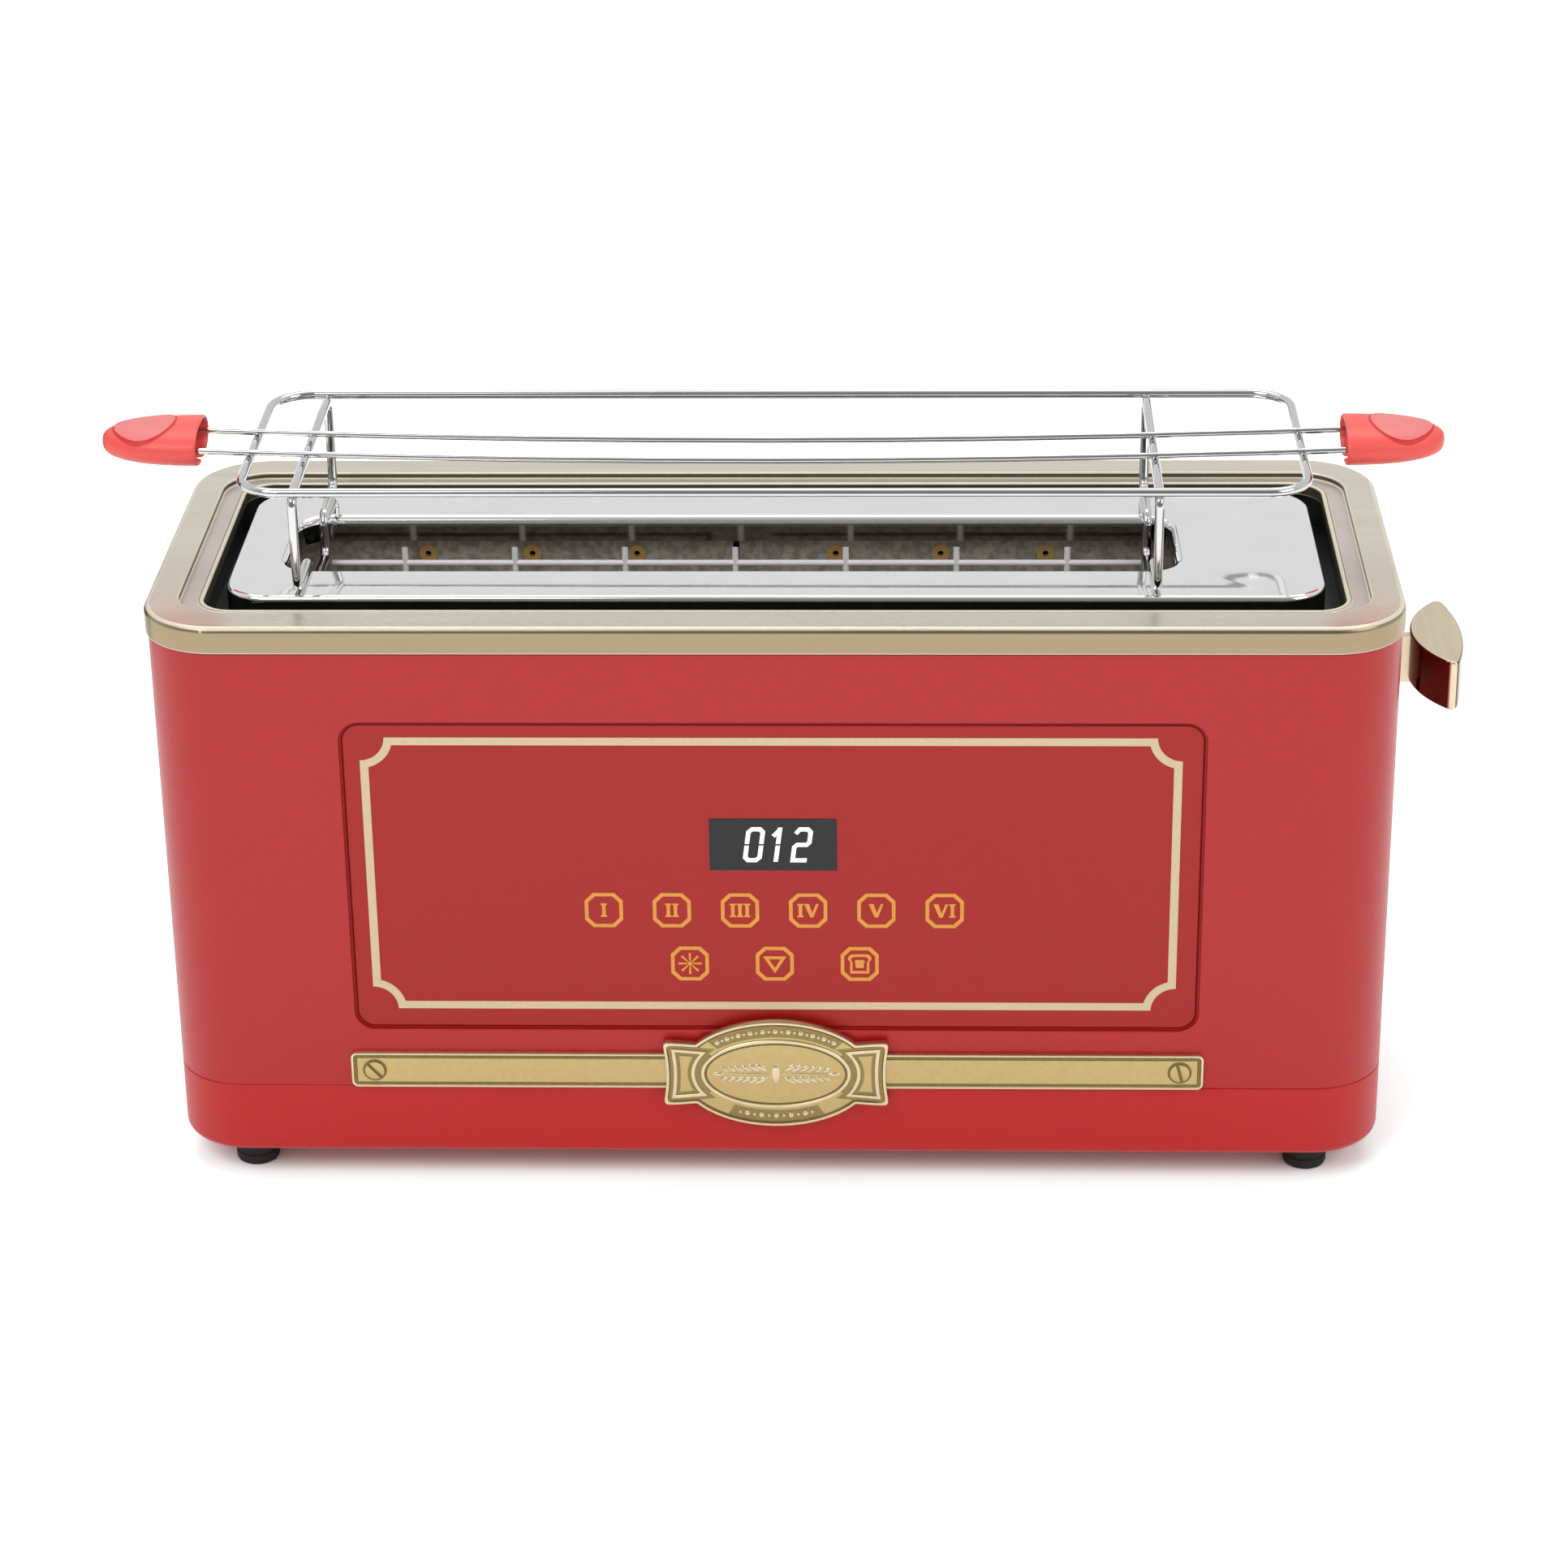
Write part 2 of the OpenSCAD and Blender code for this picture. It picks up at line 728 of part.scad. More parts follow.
module plate_rim_profile() {
  translate([-rim_r, -rim_r])
    quarter_bend(rim_r, plate_t, 1, 1);
  translate([-plate_t, -plate_skirt])
    square([plate_t, plate_skirt - rim_r]);
}

module slot_lip_profile() {
  translate([roll_r, -roll_r])
    quarter_bend(roll_r, plate_t, -1, 1);
  translate([0, -slot_lip])
    square([plate_t, slot_lip - roll_r]);
}

module top_plate() {
  color(chrome)
    translate([0, 0, plate_z])
      union() {
        translate([0, 0, -plate_t])
          linear_extrude(plate_t)
            difference() {
              rounded_rect(plate_w - 2 * rim_r, plate_d - 2 * rim_r, plate_r - rim_r);
              translate([slot_x, 0])
                rounded_rect(slot_w + 2 * roll_r, slot_d + 2 * roll_r, slot_r + roll_r);
            }
        frame_sweep(plate_w, plate_d, plate_r)
          plate_rim_profile();
        translate([slot_x, 0, 0])
          frame_sweep(slot_w, slot_d, slot_r)
            slot_lip_profile();
      }
}

// Chamber

module end_plate_sheet(x0) {
  translate([x0, -end_d / 2, bottom_z])
    cube([end_t, end_d, liner_z - bottom_z]);
}

module end_plate_cuts(x0) {
  for (sy = [-1, 1])
    translate([0, sy * guide_y, pivot_z])
      rod_x_axis(x0 - 1, x0 + end_t + 1, pivot_d + 2 * run_gap);
  cut_low = carrier_bottom_z - lever_travel - pass_gap;
  cut_d = carrier_t + 2 * pass_gap;
  translate([x0 - 1, -cut_d / 2, cut_low])
    cube([end_t + 2, cut_d, carrier_z + pass_gap - cut_low]);
}

module end_plate_foot(x0) {
  translate([x0, -end_d / 2, bottom_z])
    cube([end_foot_w, end_d, end_t]);
}

module left_end_plate() {
  x0 = left_x - end_t;
  color(steel)
    difference() {
      union() {
        end_plate_sheet(x0);
        end_plate_foot(x0 - end_foot_w);
      }
      end_plate_cuts(x0);
    }
}

module right_end_plate() {
  ear_w = rod_gap + rod_d + bush_wall;
  ear_d = 16;
  color(steel)
    difference() {
      union() {
        end_plate_sheet(right_x);
        end_plate_foot(right_x + end_t);
        translate([right_x + end_t, -ear_d / 2, rod_top_z - 2 * end_t])
          cube([ear_w, ear_d, end_t]);
      }
      end_plate_cuts(right_x);
      translate([rod_x, 0, rod_top_z - 3 * end_t])
        cylinder(d = rod_d + 2 * hole_gap, h = 3 * end_t);
    }
}

module reflector(side) {
  color(chrome)
    translate([left_x, side > 0 ? reflector_y : -reflector_y - reflector_t, reflector_z])
      cube([chamber_w, reflector_t, liner_z - reflector_z]);
}

module card_places() {
  for (x = [left_x, right_x - card_w])
    translate([x, 0, 0])
      children();
}

module eyelet_places() {
  for (sx = [-1, 1], i = [-1:1])
    translate([(left_x + right_x) / 2 + sx * eyelet_offset + i * eyelet_pitch, 0, eyelet_z])
      children();
}

module heater_cards(side) {
  color(mica)
    difference() {
      card_places()
        translate([0, side > 0 ? card_y : -card_y - card_t, card_z])
          cube([card_w, card_t, card_top_z - card_z]);
      eyelet_places()
        rod_y_axis(side * card_y - 2 * card_t, side * card_y + 2 * card_t, eyelet_d);
    }
}

// One ribbon laid to and fro across the slot side of each card
module heater_ribbons(side) {
  run = card_w - 2 * ribbon_margin;
  pitch = (eyelet_z - ribbon_drop - ribbon_z) / (ribbon_rows - 1);
  color(steel)
    card_places()
      translate([ribbon_margin, side > 0 ? card_y - ribbon_t : -card_y, ribbon_z])
        for (i = [0:ribbon_rows - 1]) {
          translate([0, 0, i * pitch])
            cube([run, ribbon_t, ribbon_h]);
          if (i < ribbon_rows - 1)
            translate([i % 2 == 0 ? run - ribbon_h : 0, 0, i * pitch])
              cube([ribbon_h, ribbon_t, pitch + ribbon_h]);
        }
}

// Channels that hold the meeting edges of the cards off the reflectors
module heater_spacers() {
  w = card_gap + 2 * spacer_lap;
  depth = reflector_y - card_y - card_t;
  color(steel)
    for (side = [-1, 1])
      translate([(left_x + right_x) / 2, side * (card_y + card_t + depth / 2), card_z])
        linear_extrude(liner_z - card_z - spacer_drop)
          difference() {
            square([w, depth], center = true);
            translate([0, side * spacer_t])
              square([w - 2 * spacer_t, depth], center = true);
          }
}

module heater_eyelets() {
  flange = 1;
  flange_t = 0.6;
  color(brass)
    for (side = [-1, 1])
      eyelet_places()
        translate([0, side * (card_y + card_t / 2), 0])
          difference() {
            union() {
              rod_y_axis(-card_t / 2, card_t / 2, eyelet_d - 2 * hole_gap);
              for (sy = [-1, 1])
                translate([0, sy * (card_t + flange_t) / 2, 0])
                  rod_y_axis(-flange_t / 2, flange_t / 2, eyelet_d + 2 * flange);
            }
            rod_y_axis(-3, 3, eyelet_d / 2);
          }
}

module bread_guide(side) {
  half = (guide_count - 1) / 2;
  color(chrome)
    translate([0, side * guide_y, 0])
      union() {
        translate([0, 0, pivot_z])
          rod_x_axis(left_x - end_t, right_x + end_t, pivot_d);
        translate([slot_x, 0, guide_rail_z])
          rod_x_axis(-half * guide_pitch - guide_over, half * guide_pitch + guide_over, guide_d);
        for (i = [-half:half])
          translate([slot_x + i * guide_pitch, 0, pivot_z])
            cylinder(d = guide_d, h = guide_top_z - pivot_z);
      }
}

// Lever

module guide_rod() {
  color(steel)
    translate([rod_x, 0, floor_z])
      cylinder(d = rod_d, h = rod_top_z - floor_z);
}

// Helix of the return spring round the guide rod
spring_low_z = bottom_z + spring_wire / 2 + rest_gap;
spring_high_z = slider_z - spring_wire / 2 - rest_gap;
spring_r = rod_d / 2 + spring_wire + 0.6;
spring_rings = 12;
spring_sides = 6;
spring_steps = spring_turns * spring_rings;
spring_pitch = (spring_high_z - spring_low_z) / spring_turns;
spring_slope = atan2(spring_pitch, 2 * PI * spring_r);
echo(spring_gap = spring_pitch * cos(spring_slope) - spring_wire);

function spring_point(k, j) =
  let (a = 360 * k / spring_rings, b = 360 * j / spring_sides)
  let (out = [cos(a), sin(a), 0], around = [-sin(a), cos(a), 0])
  let (up = [0, 0, cos(spring_slope)] - around * sin(spring_slope))
  spring_r * out + [0, 0, spring_pitch * k / spring_rings]
  + spring_wire / 2 * (cos(b) * out + sin(b) * up);

module return_spring() {
  m = spring_sides;
  points = [for (k = [0:spring_steps], j = [0:m - 1]) spring_point(k, j)];
  sides = [
    for (k = [0:spring_steps - 1], j = [0:m - 1], half = [0, 1])
      let (a = k * m + j, b = k * m + (j + 1) % m)
      half == 0 ? [a, a + m, b] : [b, a + m, b + m]
  ];
  first_end = [for (j = [1:m - 2]) [0, j, j + 1]];
  last = spring_steps * m;
  last_end = [for (j = [1:m - 2]) [last, last + j + 1, last + j]];
  color(steel)
    translate([rod_x, 0, spring_low_z])
      polyhedron(points, concat(sides, first_end, last_end));
}

module electromagnet() {
  foot_t = 3;
  core_d = 8;
  coil_top_z = magnet_top_z - 4;
  color([0.55, 0.30, 0.16])
    translate([magnet_x, magnet_y, 0])
      union() {
        translate([-magnet_foot / 2, -magnet_foot / 2, bottom_z])
          cube([magnet_foot, magnet_foot, foot_t]);
        translate([0, 0, bottom_z])
          cylinder(d = armature_size - 2, h = coil_top_z - bottom_z);
        translate([0, 0, bottom_z])
          cylinder(d = core_d, h = magnet_top_z - bottom_z);
      }
}

module lever_arm() {
  color(brass)
    translate([rod_x + bush_r + rest_gap, -arm_t / 2, arm_low_z])
      cube([knob_x + knob_bite - rod_x - bush_r - rest_gap, arm_t, arm_h]);
}

// Lens between two arcs, with rounded tips
module knob_outline() {
  half = knob_len / 2;
  inner_r = (half * half + knob_inner_sag * knob_inner_sag) / (2 * knob_inner_sag);
  outer_r = (half * half + knob_outer_sag * knob_outer_sag) / (2 * knob_outer_sag);
  inner_c = [inner_r, 0];
  outer_c = [knob_inner_sag + knob_outer_sag - outer_r, 0];
  inner_reach = inner_r - knob_tip_r;
  outer_reach = outer_r - knob_tip_r;
  reach_gap = pow(inner_reach, 2) - pow(outer_reach, 2);
  tip_x = (reach_gap + pow(outer_c[0], 2) - inner_r * inner_r) / (2 * (outer_c[0] - inner_r));
  tip = [tip_x, sqrt(inner_reach * inner_reach - pow(tip_x - inner_r, 2))];
  inner_touch = inner_c + inner_r * unit(tip - inner_c);
  outer_touch = outer_c + outer_r * unit(tip - outer_c);
  along = outer_touch - inner_touch;
  ends = [inner_touch - knob_len * unit(along), outer_touch + knob_len * unit(along)];
  intersection() {
    translate(inner_c)
      circle(inner_r);
    translate(outer_c)
      circle(outer_r);
    polygon([ends[0], ends[1], [ends[1][0], -ends[1][1]], [ends[0][0], -ends[0][1]]]);
  }
  for (sy = [-1, 1])
    translate([tip[0], sy * tip[1]])
      circle(knob_tip_r);
}

module lever_knob() {
  color(brass)
    difference() {
      translate([knob_x, 0, knob_z])
        linear_extrude(knob_h)
          knob_outline($fn = 180);
      translate([knob_x - 1, -arm_t / 2, arm_low_z])
        cube([knob_bite + 1, arm_t, arm_h]);
    }
}

module slider() {
  fin_t = 2;
  arm_lap = 10;
  fin_x = right_x + end_t + pass_gap;
  color(steel)
    difference() {
      union() {
        translate([rod_x, 0, slider_z])
          cylinder(r = bush_r, h = bush_h);
        translate([fin_x, carrier_t / 2, slider_z])
          cube([rod_x - fin_x, fin_t, carrier_strip_h]);
        translate([rod_x, arm_t / 2, arm_low_z])
          cube([bush_r + arm_lap, fin_t, slider_z + bush_h - arm_low_z]);
        translate([magnet_x - armature_size / 2, magnet_y - armature_size / 2, tab_z])
          cube([armature_size, -magnet_y + armature_size / 2, tab_t]);
      }
      translate([rod_x, 0, slider_z - 1])
        cylinder(d = rod_d + 2 * run_gap, h = bush_h + 2);
    }
}

module armature() {
  color(steel)
    translate([magnet_x - armature_size / 2, magnet_y - armature_size / 2, tab_z - armature_t])
      cube([armature_size, armature_size, armature_t]);
}

module bread_carrier() {
  tail_reach = 2;
  tail = left_x - end_t - tail_reach;
  rods = guide_count - 1;
  cross_d = 2.4;
  color(steel)
    union() {
      translate([tail, -carrier_t / 2, carrier_bottom_z])
        cube([rod_x - bush_r - rest_gap - tail, carrier_t, carrier_strip_h]);
      for (i = [0:rods - 1])
        translate([slot_x + (i - (rods - 1) / 2) * guide_pitch, 0, carrier_z - cross_d])
          rod_y_axis(-carrier_reach, carrier_reach, cross_d);
    }
}

// Electronics

// Stands on the left end plate's foot, with its parts on the outer side
module power_board() {
  board_t = 1.6;
  board_d = 80;
  board_h = 95;
  board_place = 0.19;
  relay_t = 9;
  relay_d = 26;
  relay_h = 24;
  relay_y = -30;
  relay_z = 30;
  supply_t = 7;
  supply_d = 22;
  supply_h = 18;
  supply_y = 8;
  supply_z = 12;
  capacitor_d = 9;
  capacitor_len = 8;
  capacitor_pitch = 12;
  capacitor_z = 62;
  bay_room = left_x - end_t + body_w / 2 - body_t - board_t - relay_t;
  board_gap = board_place * bay_room;
  color(board_green)
    translate([left_x - end_t - board_gap - board_t, 0, bottom_z + end_t])
      union() {
        translate([0, -board_d / 2, 0])
          cube([board_t, board_d, board_h]);
        translate([-relay_t, relay_y, relay_z])
          cube([relay_t, relay_d, relay_h]);
        translate([-supply_t, supply_y, supply_z])
          cube([supply_t, supply_d, supply_h]);
        for (i = [0:2])
          translate([0, capacitor_d + (i - 0.5) * capacitor_pitch, capacitor_z])
            rod_x_axis(-capacitor_len, 0, capacitor_d);
      }
}

module control_board() {
  board_w = 150;
  board_h = 64;
  board_t = 1.6;
  color(board_green)
    union() {
      translate([0, 0, control_z])
        upright(control_y + board_t, board_t)
          square([board_w, board_h], center = true);
      translate([0, 0, panel_low_z + display_z])
        upright(control_y, control_y - panel_back_y - rest_gap)
          square([display_w, display_h], center = true);
    }
}

module control_panel() {
  post_x = 66;
  post_z = 26;
  post_d = 6;
  color(panel_red)
    union() {
      translate([0, 0, panel_mid_z])
        upright(panel_back_y, panel_t)
          rounded_rect(panel_w + 2 * panel_lap, panel_h + 2 * panel_lap, panel_r + panel_lap);
      translate([0, 0, panel_mid_z])
        upright(panel_back_y, panel_back_y - panel_face_y)
          rounded_rect(panel_w, panel_h, panel_r);
      for (sx = [-1, 1], sz = [-1, 1])
        translate([sx * post_x, 0, control_z + sz * post_z])
          rod_y_axis(panel_back_y, control_y, post_d);
    }
}

module notched_rect(w, h, r, grow) {
  difference() {
    square([w - 2 * grow, h - 2 * grow], center = true);
    for (sx = [-1, 1], sy = [-1, 1])
      translate([sx * w / 2, sy * h / 2])
        circle(r + grow);
  }
}

module panel_border() {
  w = panel_w - 2 * border_inset_x;
  h = panel_h - 2 * border_inset_y;
  color(cream)
    translate([border_x, 0, panel_mid_z + border_lift])
      upright(panel_face_y, print_t)
        difference() {
          notched_rect(w, h, notch_r, 0);
          notched_rect(w, h, notch_r, border_t);
        }
}

module key_ring() {
  across = 1 / cos(22.5);
  difference() {
    rotate(22.5)
      circle(d = key_w * across, $fn = 8);
    rotate(22.5)
      circle(d = (key_w - 2 * key_line) * across, $fn = 8);
  }
}

module key_outlines() {
  color(gold) {
    for (i = [0:5])
      translate([(i - 2.5) * key_pitch, 0, panel_low_z + key_z])
        upright(panel_face_y, print_t)
          key_ring();
    for (i = [-1:1])
      translate([i * low_key_pitch, 0, panel_low_z + low_key_z])
        upright(panel_face_y, print_t)
          key_ring();
  }
}

module display_window() {
  color([0.20, 0.21, 0.22])
    translate([0, 0, panel_low_z + display_z])
      upright(panel_face_y, print_t)
        square([display_w, display_h], center = true);
}

// Seven-segment digit; lit lists the bars from the top clockwise, then the middle
module digit(lit) {
  w = digit_h * 0.55;
  bar = digit_h * 0.11;
  slant = 0.14;
  inset = bar * 0.62;
  centres = [[0, 1], [1, 0.5], [1, -0.5], [0, -1], [-1, -0.5], [-1, 0.5], [0, 0]];
  for (k = lit) {
    level = k == 0 || k == 3 || k == 6;
    long = (level ? w : digit_h / 2) / 2 - inset;
    cx = centres[k][0] * w / 2;
    cy = centres[k][1] * digit_h / 2;
    ends = [[-long, 0], [-long + bar / 2, bar / 2], [long - bar / 2, bar / 2],
            [long, 0], [long - bar / 2, -bar / 2], [-long + bar / 2, -bar / 2]];
    polygon([for (e = ends)
      let (x = cx + (level ? e[0] : e[1]), y = cy + (level ? e[1] : e[0]))
      [x + slant * y, y]]);
  }
}

module display_digits() {
  shown = [[0, 1, 2, 3, 4, 5], [1, 2], [0, 1, 3, 4, 6]];
  color([0.95, 0.96, 0.97])
    translate([0, 0, panel_low_z + display_z])
      for (i = [0:2])
        translate([(i - 1) * digit_h * 0.72, 0, 0])
          upright(panel_face_y - print_t, print_t)
            digit(shown[i]);
}

// Brass front fittings

module front_strap() {
  line = 0.9;
  raise = 0.3;
  color(brass)
    difference() {
      union() {
        translate([0, 0, strap_mid_z])
          upright(front_y, strap_t)
            square([strap_w, strap_h], center = true);
        translate([0, 0, strap_mid_z])
          upright(front_y, strap_t + raise)
            difference() {
              square([strap_w, strap_h], center = true);
              square([strap_w - 2 * line, strap_h - 2 * line], center = true);
              square([wing_w + 2, strap_h + 1], center = true);
            }
      }
      screw_holes_strap();
    }
}

module ellipse(w, h) {
  steps = 72;
  polygon([for (i = [0:steps - 1]) [w / 2 * cos(360 * i / steps), h / 2 * sin(360 * i / steps)]]);
}

module wings() {
  root_x = badge_w * 0.4;
  sag_r = (pow(wing_h / 2, 2) + wing_sag * wing_sag) / (2 * wing_sag);
  half = [[0, wing_root_h / 2], [root_x, wing_root_h / 2], [wing_w / 2, wing_h / 2],
          [wing_w / 2, -wing_h / 2], [root_x, -wing_root_h / 2], [0, -wing_root_h / 2]];
  for (m = [0, 1])
    mirror([m, 0])
      difference() {
        polygon(half);
        translate([wing_w / 2 - wing_sag + sag_r, 0])
          circle(sag_r, $fn = 180);
      }
}

module oval_badge() {
  rim = 1.2;
  raise = 0.5;
  color(brass)
    translate([0, 0, strap_mid_z])
      union() {
        upright(strap_face_y, badge_t) {
          wings();
          ellipse(badge_w, badge_h);
        }
        upright(strap_face_y, badge_t + raise)
          difference() {
            ellipse(badge_w, badge_h);
            ellipse(badge_w - 2 * rim, badge_h - 2 * rim);
            square([badge_w + 1, wing_root_h], center = true);
          }
        upright(strap_face_y, badge_t + raise)
          difference() {
            ellipse(badge_ring_w, badge_ring_h);
            ellipse(badge_ring_w - 2 * badge_ring_t, badge_ring_h - 2 * badge_ring_t);
          }
      }
}

module strap_screws() {
  groove_turn = 40;
  color(brass)
    for (sx = [-1, 1])
      translate([sx * (strap_w / 2 - strap_screw_inset), 0, strap_mid_z])
        difference() {
          union() {
            rod_y_axis(strap_face_y - strap_head_t, strap_face_y, strap_head_d);
            rod_y_axis(strap_face_y, front_y + strap_screw_reach, screw_d);
          }
          rotate([0, sx * groove_turn, 0])
            translate([0, strap_face_y - strap_head_t, 0])
              cube([2 * strap_head_d, strap_head_t, strap_groove], center = true);
        }
}

// Back and tray

// Middle of the back wall between the tray's opening and the corner
module gland_place() {
  translate([(right_x + body_w / 2 - body_r) / 2, body_d / 2, base_z + base_h / 2])
    children();
}

module cord_gland() {
  inside = 2;
  flange = 3;
  flange_t = 3;
  color(black)
    gland_place()
      difference() {
        union() {
          rod_y_axis(-base_t - inside, 0, gland_d + 2 * gland_wall - 2 * hole_gap);
          rod_y_axis(0, flange_t, gland_d + 2 * gland_wall + flange);
        }
        rod_y_axis(-base_t - inside - 1, flange_t + 1, gland_d);
      }
}

module crumb_tray() {
  depth = tray_back_y - tray_y0;
  color(steel)
    difference() {
      translate([tray_x0, tray_y0, tray_z])
        cube([tray_w, depth, tray_t + tray_wall_h]);
      translate([tray_x0 + tray_t, tray_y0 + tray_t, tray_z + tray_t])
        cube([tray_w - 2 * tray_t, depth - 2 * tray_t, tray_wall_h + 1]);
    }
}

module tray_front() {
  pull_w = 90;
  pull_t = 2.5;
  color(red)
    union() {
      translate([tray_x0, tray_back_y, tray_z])
        cube([tray_w, base_t, tray_front_h - rest_gap]);
      translate([tray_x0 + (tray_w - pull_w) / 2, tray_back_y + base_t, tray_z + tray_front_h / 2])
        cube([pull_w, tray_pull, pull_t]);
    }
}

// Bun rack

module rack_loop() {
  x = rack_w / 2;
  y = rack_d / 2;
  color(chrome)
    translate([0, 0, rack_z])
      wire_loop([[-x, -y], [x, -y], [x, y], [-x, y]], rack_wire, rack_r);
}

// Two thin rails that lie on the loop's ends and sag in the middle
module rack_rails() {
  rail_steps = 40;
  sweep = 2 * asin(rail_end / rail_bow_r);
  color(chrome)
    for (sy = [-1, 1])
      translate([rail_x, rail_y + sy * rail_gap / 2, rail_z - rail_sag + rail_bow_r])
        rotate([90, 0, 0])
          rotate(-90 - sweep / 2)
            rotate_extrude(angle = sweep, $fn = rail_steps * 360 / sweep)
              translate([rail_bow_r, 0])
                circle(d = rail_wire, $fn = 32);
}

// Leg wire: across under the rails, down to the plate, and dipping into the slot
module rack_leg(x) {
  top = rack_z - leg_drop;
  dip = plate_z - leg_dip;
  half = [[leg_y, top], [leg_y, leg_foot_z], [leg_in_y, leg_foot_z], [leg_in_y, dip]];
  mirrored = [for (i = [3:-1:0]) [-half[i][0], half[i][1]]];
  color(chrome)
    translate([x, 0, 0])
      rotate([90, 0, 90])
        wire_loop(concat(half, mirrored), rack_wire, leg_bend_r);
}

// Half-oval grip that tapers away from the rack, with a thumb pad, two wire sockets and a notch between them
module handle(sx) {
  inner_r = handle_t / 2;
  half = handle_w / 2;
  pad_rise = 0.7;
  notch_len = 3.5;
  notch_w = 3.5;
  socket = rail_end - handle_x + 1;
  color(coral)
    translate([rail_x + sx * handle_x, rail_y, handle_z])
      rotate(sx > 0 ? 0 : 180)
        difference() {
          union() {
            hull()
              for (t = [0.3, 0.6, 0.8, 0.93], sy = [-1, 1]) {
                oval = sqrt(1 - pow(t, 2.4));
                r = min(inner_r * pow(oval, 0.6), half * oval);
                translate([0, sy * (half - inner_r), 0])
                  rod_x_axis(0, 1, handle_t, $fn = 24);
                translate([handle_len * t, sy * (half * oval - r), 0])
                  sphere(r, $fn = 20);
              }
            hull() {
              translate([handle_len * 0.52, 0, 0])
                cylinder(d = handle_w * 0.62, h = inner_r * 0.93 + pad_rise, $fn = 32);
              translate([handle_len * 0.74, 0, 0])
                cylinder(d = handle_w * 0.42, h = inner_r * 0.84 + pad_rise, $fn = 32);
            }
          }
          for (sy = [-1, 1])
            translate([-1, sy * rail_gap / 2, 0])
              rod_x_axis(0, socket + 1, rail_wire + 1);
          translate([-1, -notch_w / 2, -handle_t])
            cube([notch_len + 1, notch_w, 2 * handle_t]);
        }
}

body_shell();
base_skirt();
bottom_plate();
rubber_feet();
bottom_screws();
trim_ring();
well_liner();
top_plate();
left_end_plate();
right_end_plate();
reflector(-1);  // front_reflector
reflector(1);  // back_reflector
heater_cards(-1);  // front_heater_cards
heater_cards(1);  // back_heater_cards
heater_ribbons(-1);  // front_heater_ribbons
heater_ribbons(1);  // back_heater_ribbons
heater_spacers();
heater_eyelets();
guide_rod();
return_spring();
electromagnet();
power_board();
control_board();
control_panel();
panel_border();
key_outlines();
display_window();
display_digits();
front_strap();
oval_badge();
strap_screws();
cord_gland();
lever_knob();
lever_arm();
slider();
bread_carrier();
armature();
bread_guide(-1);  // front_bread_guide
bread_guide(1);  // back_bread_guide
crumb_tray();
tray_front();
rack_loop();
rack_rails();
rack_leg(slot_x - slot_w / 2 + leg_inset);  // left_rack_leg
rack_leg(slot_x + slot_w / 2 - leg_inset);  // right_rack_leg
handle(-1);  // left_handle
handle(1);  // right_handle
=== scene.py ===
"""Looks of the long-slot toaster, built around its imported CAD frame.

Sizes are in millimetres and are turned into metres where a mesh is made.
X runs along the slot, and -Y is the front.
"""
import json
import math

import bmesh
import bpy
from mathutils import Matrix, Vector


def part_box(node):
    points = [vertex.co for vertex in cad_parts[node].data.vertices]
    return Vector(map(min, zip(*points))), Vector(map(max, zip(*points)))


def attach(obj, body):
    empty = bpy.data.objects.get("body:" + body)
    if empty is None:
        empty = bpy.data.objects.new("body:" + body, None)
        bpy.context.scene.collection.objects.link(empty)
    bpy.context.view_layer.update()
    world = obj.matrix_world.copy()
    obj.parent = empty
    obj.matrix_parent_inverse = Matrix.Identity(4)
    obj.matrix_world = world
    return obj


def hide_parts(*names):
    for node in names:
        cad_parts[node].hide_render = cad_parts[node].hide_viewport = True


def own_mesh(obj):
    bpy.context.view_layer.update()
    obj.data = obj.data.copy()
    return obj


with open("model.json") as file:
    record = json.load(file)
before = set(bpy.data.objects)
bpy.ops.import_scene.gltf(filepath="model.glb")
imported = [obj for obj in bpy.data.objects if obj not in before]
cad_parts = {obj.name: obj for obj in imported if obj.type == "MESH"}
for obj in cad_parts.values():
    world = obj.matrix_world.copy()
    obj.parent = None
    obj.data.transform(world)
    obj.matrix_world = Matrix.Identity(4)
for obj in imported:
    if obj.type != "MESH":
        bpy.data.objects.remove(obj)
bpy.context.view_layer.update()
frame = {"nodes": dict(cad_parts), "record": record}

MM = 0.001

# Camera, from the photograph's vanishing lines; the clip is in metres
IMAGE_PX = 1932
FOCAL_PX = 5149.4
SENSOR = 36.0
CAMERA_AT = (44.22, -1241.62, 689.22)
CAMERA_YAW = 1.986
CAMERA_PITCH = 25.079
CAMERA_ROLL = -0.75
CLIP_END = 20

# Light levels; the front's dimming runs over a range of the direction's Y
WHITE = (1, 1, 1, 1)
AMBIENT = 0.66
FLOOR_TONE = (0.92, 0.92, 0.92, 1)
FLOOR_GLOSS = (1.2, 1.2, 1.2, 1)
FLOOR_SEEN = (1.32, 1.5, 1.5, 1)
FRONT_DIM = 0.30
FRONT_FADE = (-0.85, 0.15)

# Stage in metres; each lamp has its place, size and watts
FLOOR_HALF = 6.0
FLAG_X = -0.46
FLAG_Y = (0.12, 0.6)
FLAG_Z = (0.03, 0.34)
LAMP_AIM = (0, 0, 0.1)
LAMPS = {
    "key": ((-1.1, -1.5, 2.0), (1.4, 1.4), 22),
    "fill": ((1.6, -1.1, 1.3), (1.2, 1.2), 9),
    "top": ((0.0, 0.9, 2.1), (2.0, 1.0), 16),
}

# Meshes: angles in degrees, and the gap across which a copy's points are joined
SHARP_ANGLE = 35
BEVEL_ANGLE = 32
FLAT_ANGLE = 0.4
WELD_GAP = 0.002

